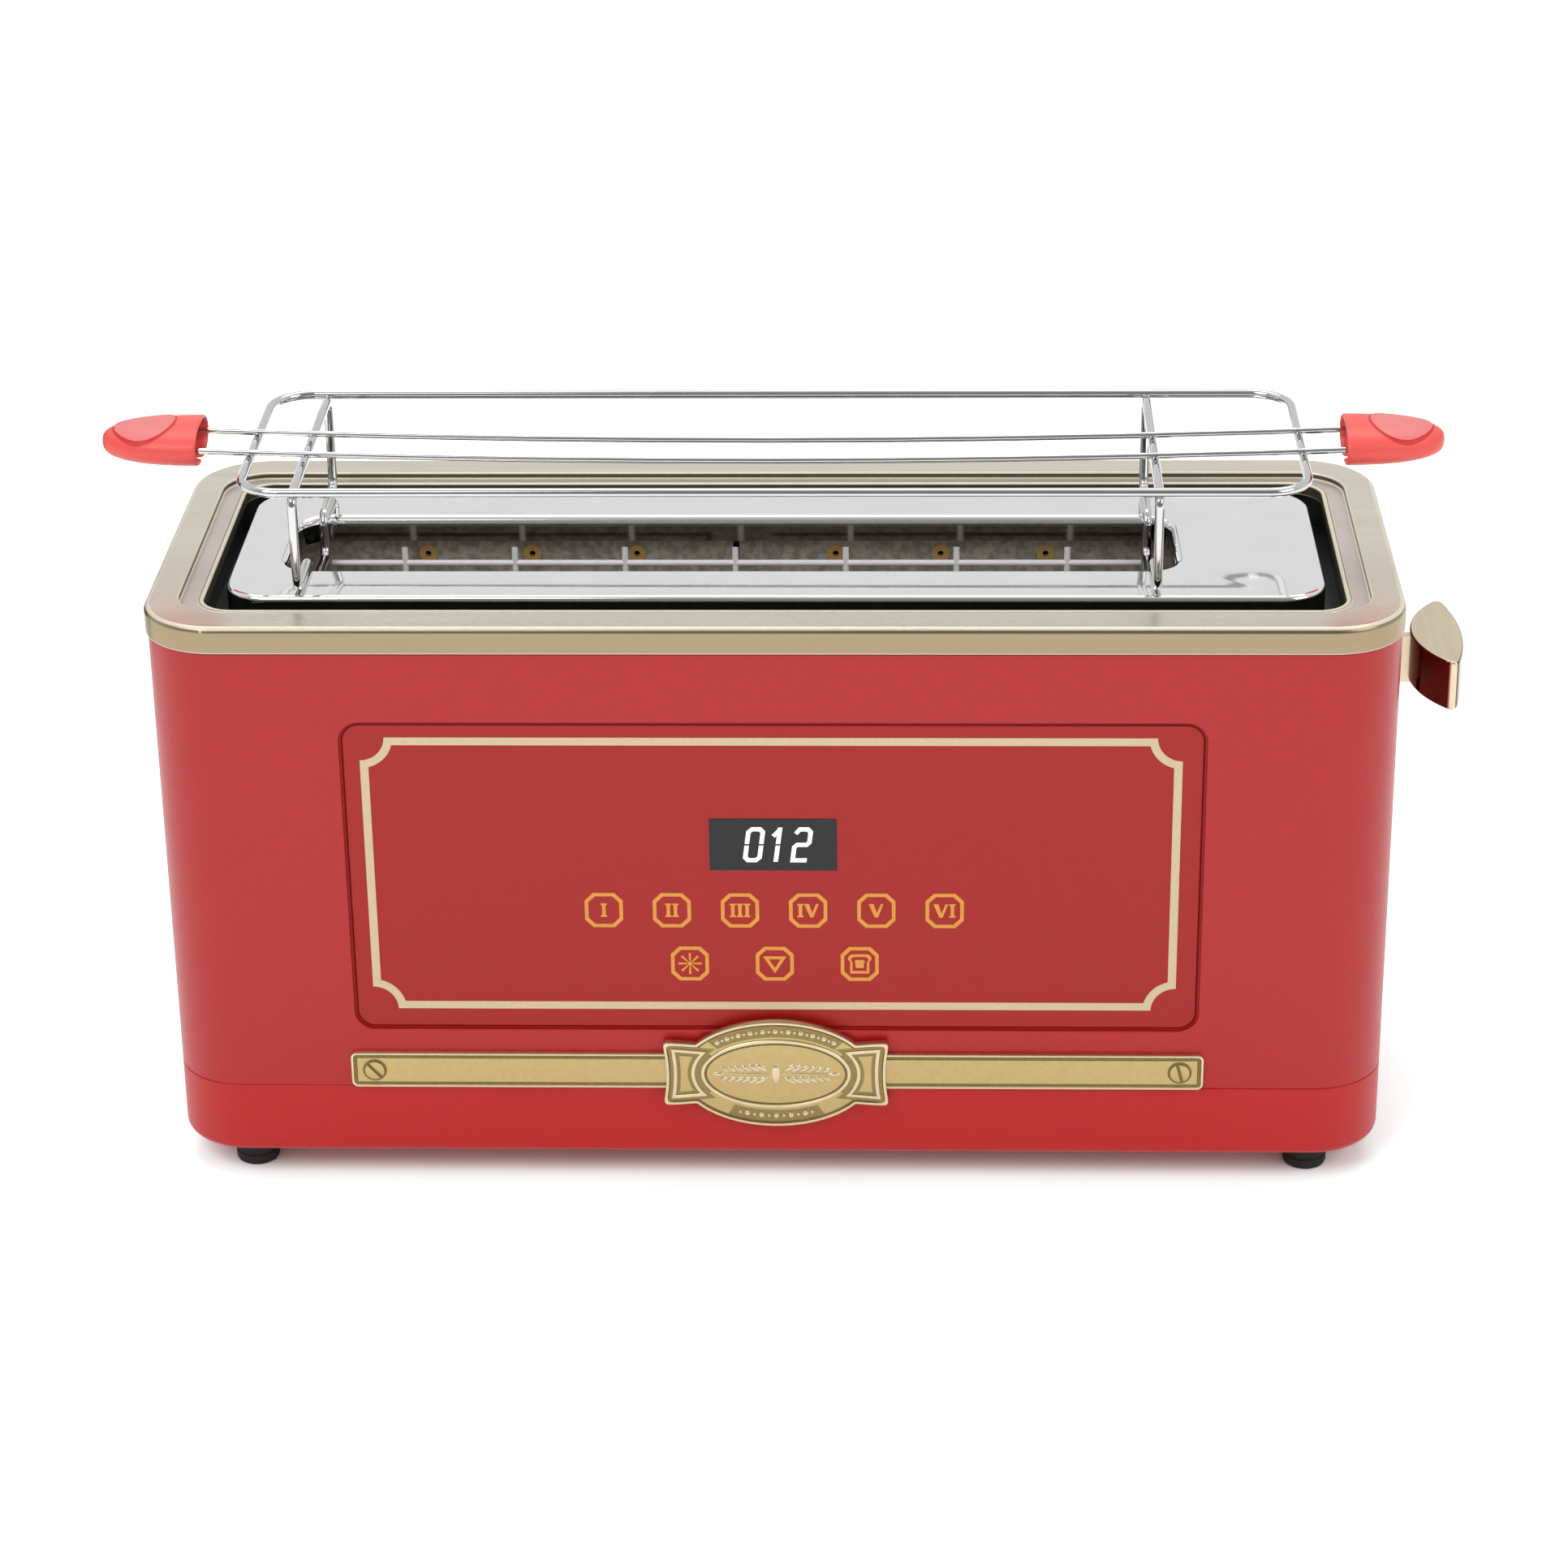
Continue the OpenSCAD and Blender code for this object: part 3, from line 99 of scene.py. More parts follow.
# Eased edges, and the segments of those that show as round
ENAMEL_EDGE = 0.5
SHEET_EDGE = 0.25
THIN_EDGE = 0.1
GLASS_EDGE = 0.08
SCREW_EDGE = 0.3
ROUND_STEPS = 3
TRIM_EDGE = 0.5
KNOB_EDGE = 0.8
GLAND_EDGE = 0.5

# Finishes: the darker tone's share of the colour, the least roughness, the depth of a bump
SECOND_TONE = 0.93
LEAST_ROUGHNESS = 0.02
BUMP_DEPTH = 0.05

# Where a finish ends on a CAD node, by a face's slope, depth or distance from the outer edge
FACES_UP = 0.7
KNOB_TIP = 0.8
TRIM_CORNER = 40
TRIM_LINE_SLOPE = (0.6, 0.98)
TRIM_FLAT_DEPTH = 1.0
TRIM_BEAD_DEPTH = 1.9
LIP_DEPTH = 2.2
LIP_INSET = (4, 15)
BOARD_T = 1.7

# Handles: half-oval in plan, with a thumb pad on top and a hollow inner end
HANDLE_HALF_T = 6.6
HANDLE_PLAN = 2.4
HANDLE_SECTION = 2.2
HANDLE_TAPER = 0.6
HANDLE_TIP = 0.9995
HANDLE_STEPS = 96
PAD_START = 8.0
PAD_END = 27.5
PAD_HALF_W = 10.9
PAD_EGG = 0.14
PAD_RISE = 0.3
PAD_SHADOW_REACH = 1.055
PAD_CROWN = 0.08
CAVITY_DEPTH = 8.0
CAVITY_WALL = 1.3
NOTCH_DEPTH = 3.4
NOTCH_HALF = 1.9
NOTCH_EDGE = (0.5, 1.3)
NOTCH_FADE = 2.4

# Strap and badge
STRAP_CORNER = 2.0
STRAP_RIM = 0.85
STRAP_GROOVE = 1.95
STRAP_SUNK = 0.3
STRAP_FIELD = 0.1
BADGE_HALF = (30.8, 18.9)
BADGE_FLOOR = 1.8
BADGE_SINK = 0.6
WING_HALF = (36.3, 11.7)
WING_ROOT = (24.6, 10.65)
WING_SAG = 1.3
WING_FRAME = 2.4
WING_ARC = (25.9, 15.0)
RING_HALF = (23.9, 12.3)
RING_W = 1.15
BAND_HALF = (27.2, 15.2)
SCREW_HEAD = 3.1
SCREW_SEAT = 3.85
SCREW_RISE = 0.5
SCREW_SLOT = 0.5
SCREW_TURNS = (-48, -75)

# Keys and display
KEY_W = 12.0
KEY_LINE = 1.15
KEY_CUT = 0.22
KEY_PITCH = 21.4
LOW_KEY_PITCH = 26.8
NUMERAL_H = 4.7
NUMERAL_GAP = 0.25
PRINT_T = 0.12
DIGIT_HALF = (2.25, 5.35)
DIGIT_BAR = 1.4
DIGIT_CORNER = 1.0
DIGIT_GAP = 0.3
DIGIT_PITCH = 7.45
DIGIT_SLANT = 0.13
DIGIT_SHIFT = 1.5


# Outlines and skins

def smooth_step(low, high, value):
    t = min(max((value - low) / (high - low), 0.0), 1.0)
    return t * t * (3 - 2 * t)


def mix(a, b, t):
    return a + (b - a) * t


def circle(steps):
    """Cosine and sine of evenly spaced angles, once round."""
    angles = [2 * math.pi * i / steps for i in range(steps)]
    return [(math.cos(a), math.sin(a)) for a in angles]


def ellipse(width, height, steps=128):
    return [(width / 2 * c, height / 2 * s) for c, s in circle(steps)]


def rounded_outline(width, height, radius, corner_steps=8):
    points = []
    for k, (sx, sz) in enumerate(((1, 1), (-1, 1), (-1, -1), (1, -1))):
        for i in range(corner_steps + 1):
            a = math.pi / 2 * (k + i / corner_steps)
            points.append((sx * (width / 2 - radius) + radius * math.cos(a),
                           sz * (height / 2 - radius) + radius * math.sin(a)))
    return points


def shifted(outline, x, z):
    return [(x + u, z + v) for u, v in outline]


def upright(outline, y):
    """Ring of points of an (x, z) outline, at one depth."""
    return [(x, y, z) for x, z in outline]


def loft(rings, tags=None, start=None, end=None):
    """Points, faces and tags of a skin over closed rings of equal length.

    start and end close the skin: a point makes a fan, True makes one flat face.
    """
    n = len(rings[0])
    points = [p for ring in rings for p in ring]
    faces, marks = [], []
    for k in range(len(rings) - 1):
        for i in range(n):
            j = (i + 1) % n
            faces.append((k * n + i, k * n + j, (k + 1) * n + j, (k + 1) * n + i))
            marks.append(tags[k] if tags else 0)
    for closing, first, tag in ((start, 0, 0), (end, (len(rings) - 1) * n, -1)):
        mark = tags[tag] if tags else 0
        if closing is True:
            faces.append(tuple(first + i for i in range(n)))
            marks.append(mark)
        elif closing is not None:
            points.append(closing)
            for i in range(n):
                faces.append((first + i, first + (i + 1) % n, len(points) - 1))
                marks.append(mark)
    return points, faces, marks


def marked(part, tag):
    """The same skin with one material all over."""
    points, faces, _ = part
    return points, faces, [tag] * len(faces)


def join_parts(parts):
    """One list of points, faces and tags from several."""
    points, faces, tags = [], [], []
    for part_points, part_faces, part_tags in parts:
        shift = len(points)
        points += part_points
        faces += [tuple(i + shift for i in face) for face in part_faces]
        tags += part_tags
    return points, faces, tags


def revolve(profile, centre, steps=48):
    """Skin of a profile of (radius, height) turned about an upright axis."""
    x, y, z = centre
    rings = [[(x + radius * c, y + radius * s, z + height) for c, s in circle(steps)]
             for radius, height in profile]
    return loft(rings, start=True, end=True)


def tube(path, radius, sides=10):
    """Skin of a round wire along an open path."""
    rings = []
    side = None
    for i, point in enumerate(path):
        after, before = path[min(i + 1, len(path) - 1)], path[max(i - 1, 0)]
        ahead = (Vector(after) - Vector(before)).normalized()
        if side is None:
            side = ahead.orthogonal().normalized()
        side = (side - ahead * side.dot(ahead)).normalized()
        up = ahead.cross(side)
        rings.append([tuple(Vector(point) + radius * (c * side + s * up))
                      for c, s in circle(sides)])
    return loft(rings, start=True, end=True)


def prism(outline, y_back, t):
    """Upright plate of an (x, z) outline, facing the front."""
    return loft([upright(outline, y) for y in (y_back, y_back - t)], start=True, end=True)


def ring_prism(outer, inner, y_back, t):
    """Upright plate between two outlines of equal length."""
    front = y_back - t
    return loft([upright(outer, y_back), upright(outer, front),
                 upright(inner, front), upright(inner, y_back)])


# Pieces

BODY_OF = {node: body for body, members in frame["record"]["behaviour"]["bodies"].items()
           for node in members}


def node_box(node):
    """Lowest and highest corner of a CAD node, in millimetres."""
    low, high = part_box(node)
    return low / MM, high / MM


def shade(mesh):
    mesh.shade_smooth()
    mesh.set_sharp_from_angle(angle=math.radians(SHARP_ANGLE))


def build_mesh(name, points, faces, tags):
    """Mesh from points in millimetres; tags give each face's material."""
    mesh = bpy.data.meshes.new(name)
    mesh.from_pydata([Vector(p) * MM for p in points], [], faces)
    mesh.polygons.foreach_set("material_index", tags)
    bm = bmesh.new()
    bm.from_mesh(mesh)
    bmesh.ops.recalc_face_normals(bm, faces=bm.faces)
    bm.to_mesh(mesh)
    bm.free()
    shade(mesh)
    return mesh


def link_object(name, data):
    added = bpy.data.objects.new(name, data)
    bpy.context.scene.collection.objects.link(added)
    return added


def add_piece(name, mesh, materials, body, replaces=()):
    piece = link_object(name, mesh)
    for material in materials:
        mesh.materials.append(material)
    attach(piece, body)
    if replaces:
        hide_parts(*replaces)
    return piece


def add_bevel(piece, width, segments):
    bevel = piece.modifiers.new("eased_edges", "BEVEL")
    bevel.width = width * MM
    bevel.segments = segments
    bevel.limit_method = "ANGLE"
    bevel.angle_limit = math.radians(BEVEL_ANGLE)
    bevel.use_clamp_overlap = False
    bevel.harden_normals = True


def cad_copy(node):
    """Clean copy of a CAD node's mesh, with flat areas joined into whole faces."""
    mesh = frame["nodes"][node].data.copy()
    mesh.name = node + "_finish"
    mesh.materials.clear()
    if "custom_normal" in mesh.attributes:
        mesh.attributes.remove(mesh.attributes["custom_normal"])
    bm = bmesh.new()
    bm.from_mesh(mesh)
    bmesh.ops.remove_doubles(bm, verts=bm.verts, dist=WELD_GAP * MM)
    bmesh.ops.dissolve_limit(bm, angle_limit=math.radians(FLAT_ANGLE), verts=bm.verts,
                             edges=bm.edges)
    for face in bm.faces:
        face.material_index = 0
    bm.to_mesh(mesh)
    bm.free()
    shade(mesh)
    return mesh


def dress(node, materials, edge=SHEET_EDGE, segments=2, tag_face=None):
    """CAD node shown as a copy with eased edges; tag_face picks a face's material."""
    mesh = cad_copy(node)
    if tag_face:
        for face in mesh.polygons:
            face.material_index = tag_face(face)
    piece = add_piece(node + "_finish", mesh, materials, BODY_OF[node], [node])
    add_bevel(piece, edge, segments)
    return piece


def paint(node, material):
    """CAD node kept as it is, with its finish."""
    mesh = frame["nodes"][node].data
    mesh.materials.clear()
    mesh.materials.append(material)
    for face in mesh.polygons:
        face.material_index = 0


# Materials

def surface(name, colour, roughness, metallic=0.0, other=None, scale=300.0, stretch=(1, 1, 1),
            detail=4.0, span=0.05, bump=0.0, contrast=(0.3, 0.7), **sockets):
    """Material whose colour, roughness and bump follow one noise; scale is in features a metre."""
    material = bpy.data.materials.new(name)
    material.use_nodes = True
    nodes, links = material.node_tree.nodes, material.node_tree.links
    shader = nodes["Principled BSDF"]
    shader.inputs["Metallic"].default_value = metallic
    for socket, value in sockets.items():
        shader.inputs[socket.replace("_", " ")].default_value = value

    place = nodes.new("ShaderNodeTexCoord")
    mapping = nodes.new("ShaderNodeMapping")
    mapping.inputs["Scale"].default_value = stretch
    noise = nodes.new("ShaderNodeTexNoise")
    noise.inputs["Scale"].default_value = scale
    noise.inputs["Detail"].default_value = detail
    links.new(place.outputs["Object"], mapping.inputs["Vector"])
    links.new(mapping.outputs["Vector"], noise.inputs["Vector"])

    ramp = nodes.new("ShaderNodeValToRGB")
    second = other or tuple(SECOND_TONE * c for c in colour)
    for stop, position, tone in zip(ramp.color_ramp.elements, contrast, (second, colour)):
        stop.position = position
        stop.color = (*tone, 1)
    links.new(noise.outputs["Fac"], ramp.inputs["Fac"])
    links.new(ramp.outputs["Color"], shader.inputs["Base Color"])

    levels = nodes.new("ShaderNodeMapRange")
    levels.inputs["To Min"].default_value = max(roughness - span, LEAST_ROUGHNESS)
    levels.inputs["To Max"].default_value = roughness + span
    links.new(noise.outputs["Fac"], levels.inputs["Value"])
    links.new(levels.outputs["Result"], shader.inputs["Roughness"])

    if bump:
        relief = nodes.new("ShaderNodeBump")
        relief.inputs["Strength"].default_value = bump
        relief.inputs["Distance"].default_value = BUMP_DEPTH * MM
        links.new(noise.outputs["Fac"], relief.inputs["Height"])
        links.new(relief.outputs["Normal"], shader.inputs["Normal"])
    return material


RED = surface("red_enamel", (0.450, 0.0110, 0.0100), 0.36, scale=700, bump=0.10,
              Coat_Weight=0.15, Coat_Roughness=0.2, Specular_IOR_Level=0.4)
BASE_RED = surface("red_base_enamel", (0.505, 0.0065, 0.0055), 0.38, scale=700, bump=0.10,
                   Coat_Weight=0.08, Coat_Roughness=0.2, Specular_IOR_Level=0.4)
PANEL = surface("panel_red", (0.380, 0.009, 0.007), 0.42, scale=1400, bump=0.12,
                Specular_IOR_Level=0.42)
# Painted light: the trim ring's one brass is split into a dark upright band and a pale top flat,
# for the light each reflects.
BRASS_BAND_SHADED = surface("brass_band_painted_shade", (0.365, 0.293, 0.178), 0.30, 1.0, scale=260,
                     stretch=(0.05, 0.05, 1), bump=0.12)
BRASS_FLAT_LIT = surface("brass_flat_painted_light", (0.74, 0.68, 0.575), 0.27, 1.0, scale=260,
                     stretch=(0.05, 1, 1), bump=0.10)
BRASS_STEP = surface("brass_step", (0.58, 0.52, 0.475), 0.36, 0.6, scale=260,
                     stretch=(0.05, 1, 1), bump=0.10)
# Painted highlight: pale, half-metal brass on the trim's eased edges and bead, for the light they
# catch.
BRASS_EDGE_HIGHLIGHT = surface("brass_edge_painted_highlight", (0.71, 0.66, 0.515), 0.34, 0.3, scale=520)
# Painted shade: near-black brass on the trim's inner walls, standing in for the shade beside the
# step.
BRASS_WALL_SHADE = surface("brass_inner_wall_painted_shade", (0.11, 0.095, 0.07), 0.42, 0.6, scale=520)
BRASS = surface("brass_fitting", (0.56, 0.45, 0.205), 0.36, 1.0, other=(0.51, 0.405, 0.18),
                scale=520, bump=0.18)
# Painted highlight: paler brass on the raised rims, ring, frames and beads, for the light they
# catch.
BRASS_PALE_HIGHLIGHT = surface("brass_rim_painted_highlight", (0.74, 0.655, 0.435), 0.30, 1.0, other=(0.68, 0.60, 0.385),
                     scale=520, bump=0.12)
BRASS_STIPPLE = surface("brass_stipple", (0.40, 0.31, 0.13), 0.48, 1.0, other=(0.24, 0.18, 0.07),
                        scale=2600, bump=0.55)
# Patina and painted shade: darker brass in the grooves and screw seats, for both the hollows'
# patina and the shade in them.
PATINA_AND_SHADE = surface("brass_groove_patina_and_shade", (0.27, 0.205, 0.08), 0.5, 1.0, other=(0.20, 0.15, 0.06),
                 scale=900, bump=0.2)
KNOB_TOP = surface("knob_brushed", (0.71, 0.605, 0.43), 0.30, 1.0, scale=420,
                   stretch=(1, 0.06, 1), bump=0.15)
# Painted reflection: the knob's polished sides are dark brass, standing in for the shaded red body
# they reflect.
KNOB_SIDE_DARK_REFLECTION = surface("knob_sides_painted_reflection", (0.19, 0.145, 0.10), 0.14, 1.0, scale=200, span=0.03)
CHROME = surface("bright_chrome", (0.87, 0.875, 0.88), 0.06, 1.0, other=(0.84, 0.845, 0.85),
                 scale=60, span=0.03)
RACK_CHROME = surface("rack_chrome", (0.66, 0.665, 0.67), 0.08, 1.0, other=(0.62, 0.625, 0.63),
                      scale=60, span=0.03)
# Painted reflection: darker chrome inside the slot's lip, for the dark slot it reflects.
LIP_CHROME_DARK_REFLECTION = surface("chrome_lip_painted_reflection", (0.36, 0.35, 0.335), 0.06, 1.0, scale=60, span=0.03)
# Painted highlight: the chrome bread guides are near-white and hardly metallic, standing in for
# their bright reflections.
GUIDE_WIRE_HIGHLIGHT = surface("plated_wire_painted_highlight", (0.93, 0.93, 0.92), 0.25, 0.1, scale=300)
EYELET = surface("eyelet_brass", (0.83, 0.52, 0.20), 0.34, 0.4, scale=600)
STEEL = surface("plain_steel", (0.52, 0.53, 0.54), 0.36, 1.0, scale=300, stretch=(0.05, 1, 1),
                bump=0.15)
BLACK = surface("black_liner", (0.012, 0.0115, 0.011), 0.36, scale=900, bump=0.15)
RUBBER = surface("black_rubber", (0.011, 0.0105, 0.010), 0.75, scale=1600, bump=0.4)
MICA = surface("mica_board", (0.52, 0.47, 0.39), 0.50, other=(0.30, 0.27, 0.22), scale=420,
               detail=8, span=0.15, bump=0.25, contrast=(0.38, 0.62))
NICHROME = surface("heater_ribbon", (0.30, 0.28, 0.26), 0.38, 1.0, other=(0.22, 0.19, 0.17),
                   scale=500)
COPPER = surface("copper_coil", (0.60, 0.24, 0.10), 0.30, 1.0, other=(0.48, 0.17, 0.07), scale=800)
BOARD = surface("circuit_board", (0.02, 0.11, 0.045), 0.40, other=(0.015, 0.075, 0.03), scale=600,
                bump=0.1)
CHIP = surface("component_plastic", (0.03, 0.03, 0.034), 0.45, scale=1200, bump=0.15)
CREAM = surface("cream_print", (0.68, 0.54, 0.35), 0.48, scale=900, bump=0.06)
GOLD = surface("gold_print", (0.78, 0.34, 0.045), 0.45, other=(0.70, 0.29, 0.035), scale=900,
               bump=0.06)
GLASS = surface("display_glass", (0.020, 0.0215, 0.023), 0.30, scale=300, span=0.03,
                Specular_IOR_Level=0.3)
DIGIT = surface("display_white", (0.85, 0.86, 0.87), 0.5, scale=300, Emission_Color=WHITE,
                Emission_Strength=0.35)
CORAL = surface("coral_grip", (0.84, 0.085, 0.070), 0.42, other=(0.80, 0.078, 0.064), scale=1100,
                bump=0.10, Coat_Weight=0.10, Coat_Roughness=0.3)
# Painted shadow: deep red strip round each thumb pad, for the shadow of its step.
CORAL_PAD_SHADOW = surface("coral_pad_painted_shadow", (0.62, 0.024, 0.020), 0.5, scale=1100, bump=0.10)
CORAL_PAD = surface("coral_pad", (0.74, 0.185, 0.175), 0.46, other=(0.71, 0.175, 0.165),
                    scale=1600, bump=0.16)


# Camera

def place_camera():
    yaw, pitch, roll = (math.radians(a) for a in (CAMERA_YAW, CAMERA_PITCH, CAMERA_ROLL))
    ahead = Vector((-math.sin(yaw) * math.cos(pitch), math.cos(yaw) * math.cos(pitch),
                    -math.sin(pitch)))
    right = Vector((math.cos(yaw), math.sin(yaw), 0))
    up = right.cross(ahead)
    turned_right = math.cos(roll) * right + math.sin(roll) * up
    turned_up = math.cos(roll) * up - math.sin(roll) * right
    data = bpy.data.cameras.new("camera")
    data.sensor_width = SENSOR
    data.lens = FOCAL_PX / IMAGE_PX * SENSOR
    data.clip_end = CLIP_END
    camera = link_object("camera", data)
    turn = Matrix((turned_right, turned_up, -ahead)).transposed()
    camera.matrix_world = Matrix.Translation(Vector(CAMERA_AT) * MM) @ turn.to_4x4()
    bpy.context.scene.camera = camera


place_camera()


# Casing and top

TRIM_FINISHES = [BRASS_BAND_SHADED, BRASS_FLAT_LIT, BRASS_STEP, BRASS_EDGE_HIGHLIGHT, BRASS_WALL_SHADE]
TRIM_BAND, TRIM_FLAT, TRIM_STEP, TRIM_HIGHLIGHT, TRIM_WALL_SHADE = range(len(TRIM_FINISHES))

trim_low, trim_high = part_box("trim_ring")
plate_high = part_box("top_plate")[1]


def knob_tag(face):
    """1 for the brushed top and tips of the knob, 0 for its polished sides, which are painted dark
    as a reflection of the shaded body beside them.
    """
    return 1 if face.normal.z > FACES_UP or abs(face.normal.y) > KNOB_TIP else 0


def trim_tag(face):
    """Finish of the upright band, flat, sunk step, edges and bead, or inner walls. The band and
    flat are painted darker and lighter, the edges and bead carry a painted highlight, and the inner
    walls a painted shade.
    """
    middle = (trim_low + trim_high) / 2
    core = (trim_high - trim_low) / 2 - Vector((TRIM_CORNER, TRIM_CORNER, 0)) * MM
    offset = face.center - middle
    from_core = [o - min(max(o, -c), c) for o, c in zip(offset.xy, core.xy)]
    outward = Vector(from_core).dot(face.normal.xy) > 0
    least, most = TRIM_LINE_SLOPE
    if outward and least < face.normal.z < most:
        return TRIM_HIGHLIGHT
    if face.normal.z > FACES_UP:
        depth = trim_high.z - face.center.z
        if depth < TRIM_FLAT_DEPTH * MM:
            return TRIM_FLAT
        return TRIM_HIGHLIGHT if depth < TRIM_BEAD_DEPTH * MM else TRIM_STEP
    return TRIM_BAND if outward else TRIM_WALL_SHADE


def lip_tag(face):
    """1 for the inside of the slot's lip, painted darker as the reflection of the dark slot, 0 for
    the rest of the top plate.
    """
    below = face.center.z < plate_high.z - LIP_DEPTH * MM
    within = all(abs(at) < edge - inset * MM
                 for at, edge, inset in zip(face.center.xy, plate_high.xy, LIP_INSET))
    return 1 if below and within else 0


for node, enamel in (("body_shell", RED), ("base_skirt", BASE_RED), ("tray_front", BASE_RED),
                     ("control_panel", PANEL)):
    dress(node, [enamel], ENAMEL_EDGE, ROUND_STEPS)
trim = dress("trim_ring", TRIM_FINISHES, TRIM_EDGE, ROUND_STEPS, trim_tag)
# The eased edges carry the trim's painted highlight.
trim.modifiers["eased_edges"].material = TRIM_HIGHLIGHT
trim.modifiers.new("even_normals", "WEIGHTED_NORMAL").keep_sharp = True
dress("well_liner", [BLACK])
dress("lever_arm", [KNOB_TOP])
dress("lever_knob", [KNOB_SIDE_DARK_REFLECTION, KNOB_TOP], KNOB_EDGE, ROUND_STEPS, knob_tag)
dress("top_plate", [CHROME, LIP_CHROME_DARK_REFLECTION], THIN_EDGE, tag_face=lip_tag)
for wire in ("rack_loop", "rack_rails", "left_rack_leg", "right_rack_leg"):
    paint(wire, RACK_CHROME)
for cage in ("front_bread_guide", "back_bread_guide"):
    paint(cage, GUIDE_WIRE_HIGHLIGHT)


# Chamber and works

for sheet in ("bottom_plate", "left_end_plate", "right_end_plate", "heater_spacers", "slider",
              "armature", "crumb_tray", "bread_carrier"):
    dress(sheet, [STEEL])
for sheet in ("front_reflector", "back_reflector"):
    dress(sheet, [STEEL], THIN_EDGE)
for card in ("front_heater_cards", "back_heater_cards"):
    paint(card, MICA)
for ribbon in ("front_heater_ribbons", "back_heater_ribbons"):
    paint(ribbon, NICHROME)
paint("heater_eyelets", EYELET)
paint("guide_rod", CHROME)


def add_spring():
    """Round helix with a closer turn at each end; the real spring shortens as the lever goes down,
    but this one is built at one length.
    """
    low, high = node_box("return_spring")
    wire, turns, steps, ease = 1.0, 18, 28, 0.25
    centre = (low + high) / 2
    coil_r = (high.x - low.x) / 2 - wire / 2
    run = high.z - low.z - wire
    path = []
    for i in range(turns * steps + 1):
        t = i / (turns * steps)
        rise = smooth_step(0, 1, t) * ease + t * (1 - ease)
        a = 2 * math.pi * i / steps
        path.append((centre.x + coil_r * math.cos(a), centre.y + coil_r * math.sin(a),
                     low.z + wire / 2 + run * rise))
    mesh = build_mesh("spring_wire", *tube(path, wire / 2))
    spring = add_piece("return_spring_wire", mesh, [STEEL], "toaster_body",
                       ["return_spring"])
    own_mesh(spring)


def add_magnet():
    """Bobbin, wound coil and core on a steel foot."""
    low, high = node_box("electromagnet")
    axis = ((low.x + high.x) / 2, (low.y + high.y) / 2, 0)
    foot_t, foot_corner = 3.0, 2
    core_r, core_edge, core_end = 4.0, 0.4, 4.0
    flange_t, flange_over = 1.6, 0.4
    coil_r, wire_r, turns, steps = 7.6, 0.4, 22, 6
    base, top = low.z + foot_t, high.z - core_end

    width = high.x - low.x
    outline = shifted(rounded_outline(width, width, foot_corner), axis[0], axis[1])
    foot = loft([[(x, y, z) for x, y in outline] for z in (low.z, base)], start=True, end=True)
    core = revolve([(core_r - core_edge, base), (core_r, base + core_edge),
                    (core_r, high.z - core_edge), (core_r - core_edge, high.z)], axis)
    mesh = build_mesh("magnet_yoke", *join_parts([foot, core]))
    add_piece("magnet_yoke", mesh, [STEEL], "toaster_body", ["electromagnet"])

    flange_r = coil_r + flange_over
    flanges = [revolve([(core_r, z), (flange_r, z), (flange_r, z + flange_t),
                        (core_r, z + flange_t)], axis) for z in (base, top - flange_t)]
    mesh = build_mesh("magnet_bobbin", *join_parts(flanges))
    add_piece("magnet_bobbin", mesh, [CHIP], "toaster_body")

    winding_r = coil_r - 2 * wire_r
    winding = [(core_r, base + flange_t)]
    pitch = (top - base - 2 * flange_t) / turns
    for i in range(turns):
        for step in range(steps):
            swell = math.sin(math.pi * step / steps)
            winding.append((winding_r + wire_r * swell,
                            base + flange_t + pitch * (i + step / steps)))
    winding += [(winding_r, top - flange_t), (core_r, top - flange_t)]
    mesh = build_mesh("magnet_winding", *revolve(winding, axis))
    add_piece("magnet_winding", mesh, [COPPER], "toaster_body")


add_spring()
add_magnet()
power_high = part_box("power_board")[1]
dress("power_board", [BOARD, CHIP],
      tag_face=lambda face: 1 if face.center.x < power_high.x - BOARD_T * MM else 0)
control_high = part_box("control_board")[1]
dress("control_board", [BOARD, CHIP],
      tag_face=lambda face: 1 if face.center.y < control_high.y - BOARD_T * MM else 0)


# Feet, screws and gland

def add_feet():
    """Rounded feet with a groove round each, on studs that reach into the base."""
    low, high = node_box("rubber_feet")
    foot_r, stud_r, foot_top = 7.0, 3.9, node_box("base_skirt")[0].z
    groove_r = foot_r - 0.35
    profile = [(4.6, 0.5), (5.0, 0.05), (5.8, 0.0), (6.6, 0.35), (foot_r, 1.2), (foot_r, 3.4),
               (groove_r, 3.7), (groove_r, 4.3), (foot_r, 4.6), (foot_r, foot_top - 0.5),
               (foot_r - 0.4, foot_top), (stud_r, foot_top), (stud_r, high.z)]
    places = [(x, y) for x in (low.x + foot_r, high.x - foot_r)
              for y in (low.y + foot_r, high.y - foot_r)]
    mesh = build_mesh("feet", *join_parts([revolve(profile, (x, y, 0)) for x, y in places]))
    add_piece("rubber_feet_moulded", mesh, [RUBBER], "toaster_body",
              ["rubber_feet"])


add_feet()
dress("bottom_screws", [STEEL], SCREW_EDGE)
dress("cord_gland", [RUBBER], GLAND_EDGE, ROUND_STEPS)


# Handles: u runs along the handle, v across it and w up

def handle_half(u, length, half_w):
    """Half width and half thickness of a handle at u along it."""
    t = min(max(u / length, 0.0), HANDLE_TIP)
    oval = math.sqrt(1 - t ** HANDLE_PLAN)
    return half_w * oval, min(HANDLE_HALF_T * oval ** HANDLE_TAPER, half_w * oval)


def handle_top(u, v, length, half_w):
    """Height of a handle's upper skin above its middle."""
    a, b = handle_half(u, length, half_w)
    return b * max(1 - min(abs(v) / a, 1) ** HANDLE_SECTION, 0) ** (1 / HANDLE_SECTION)


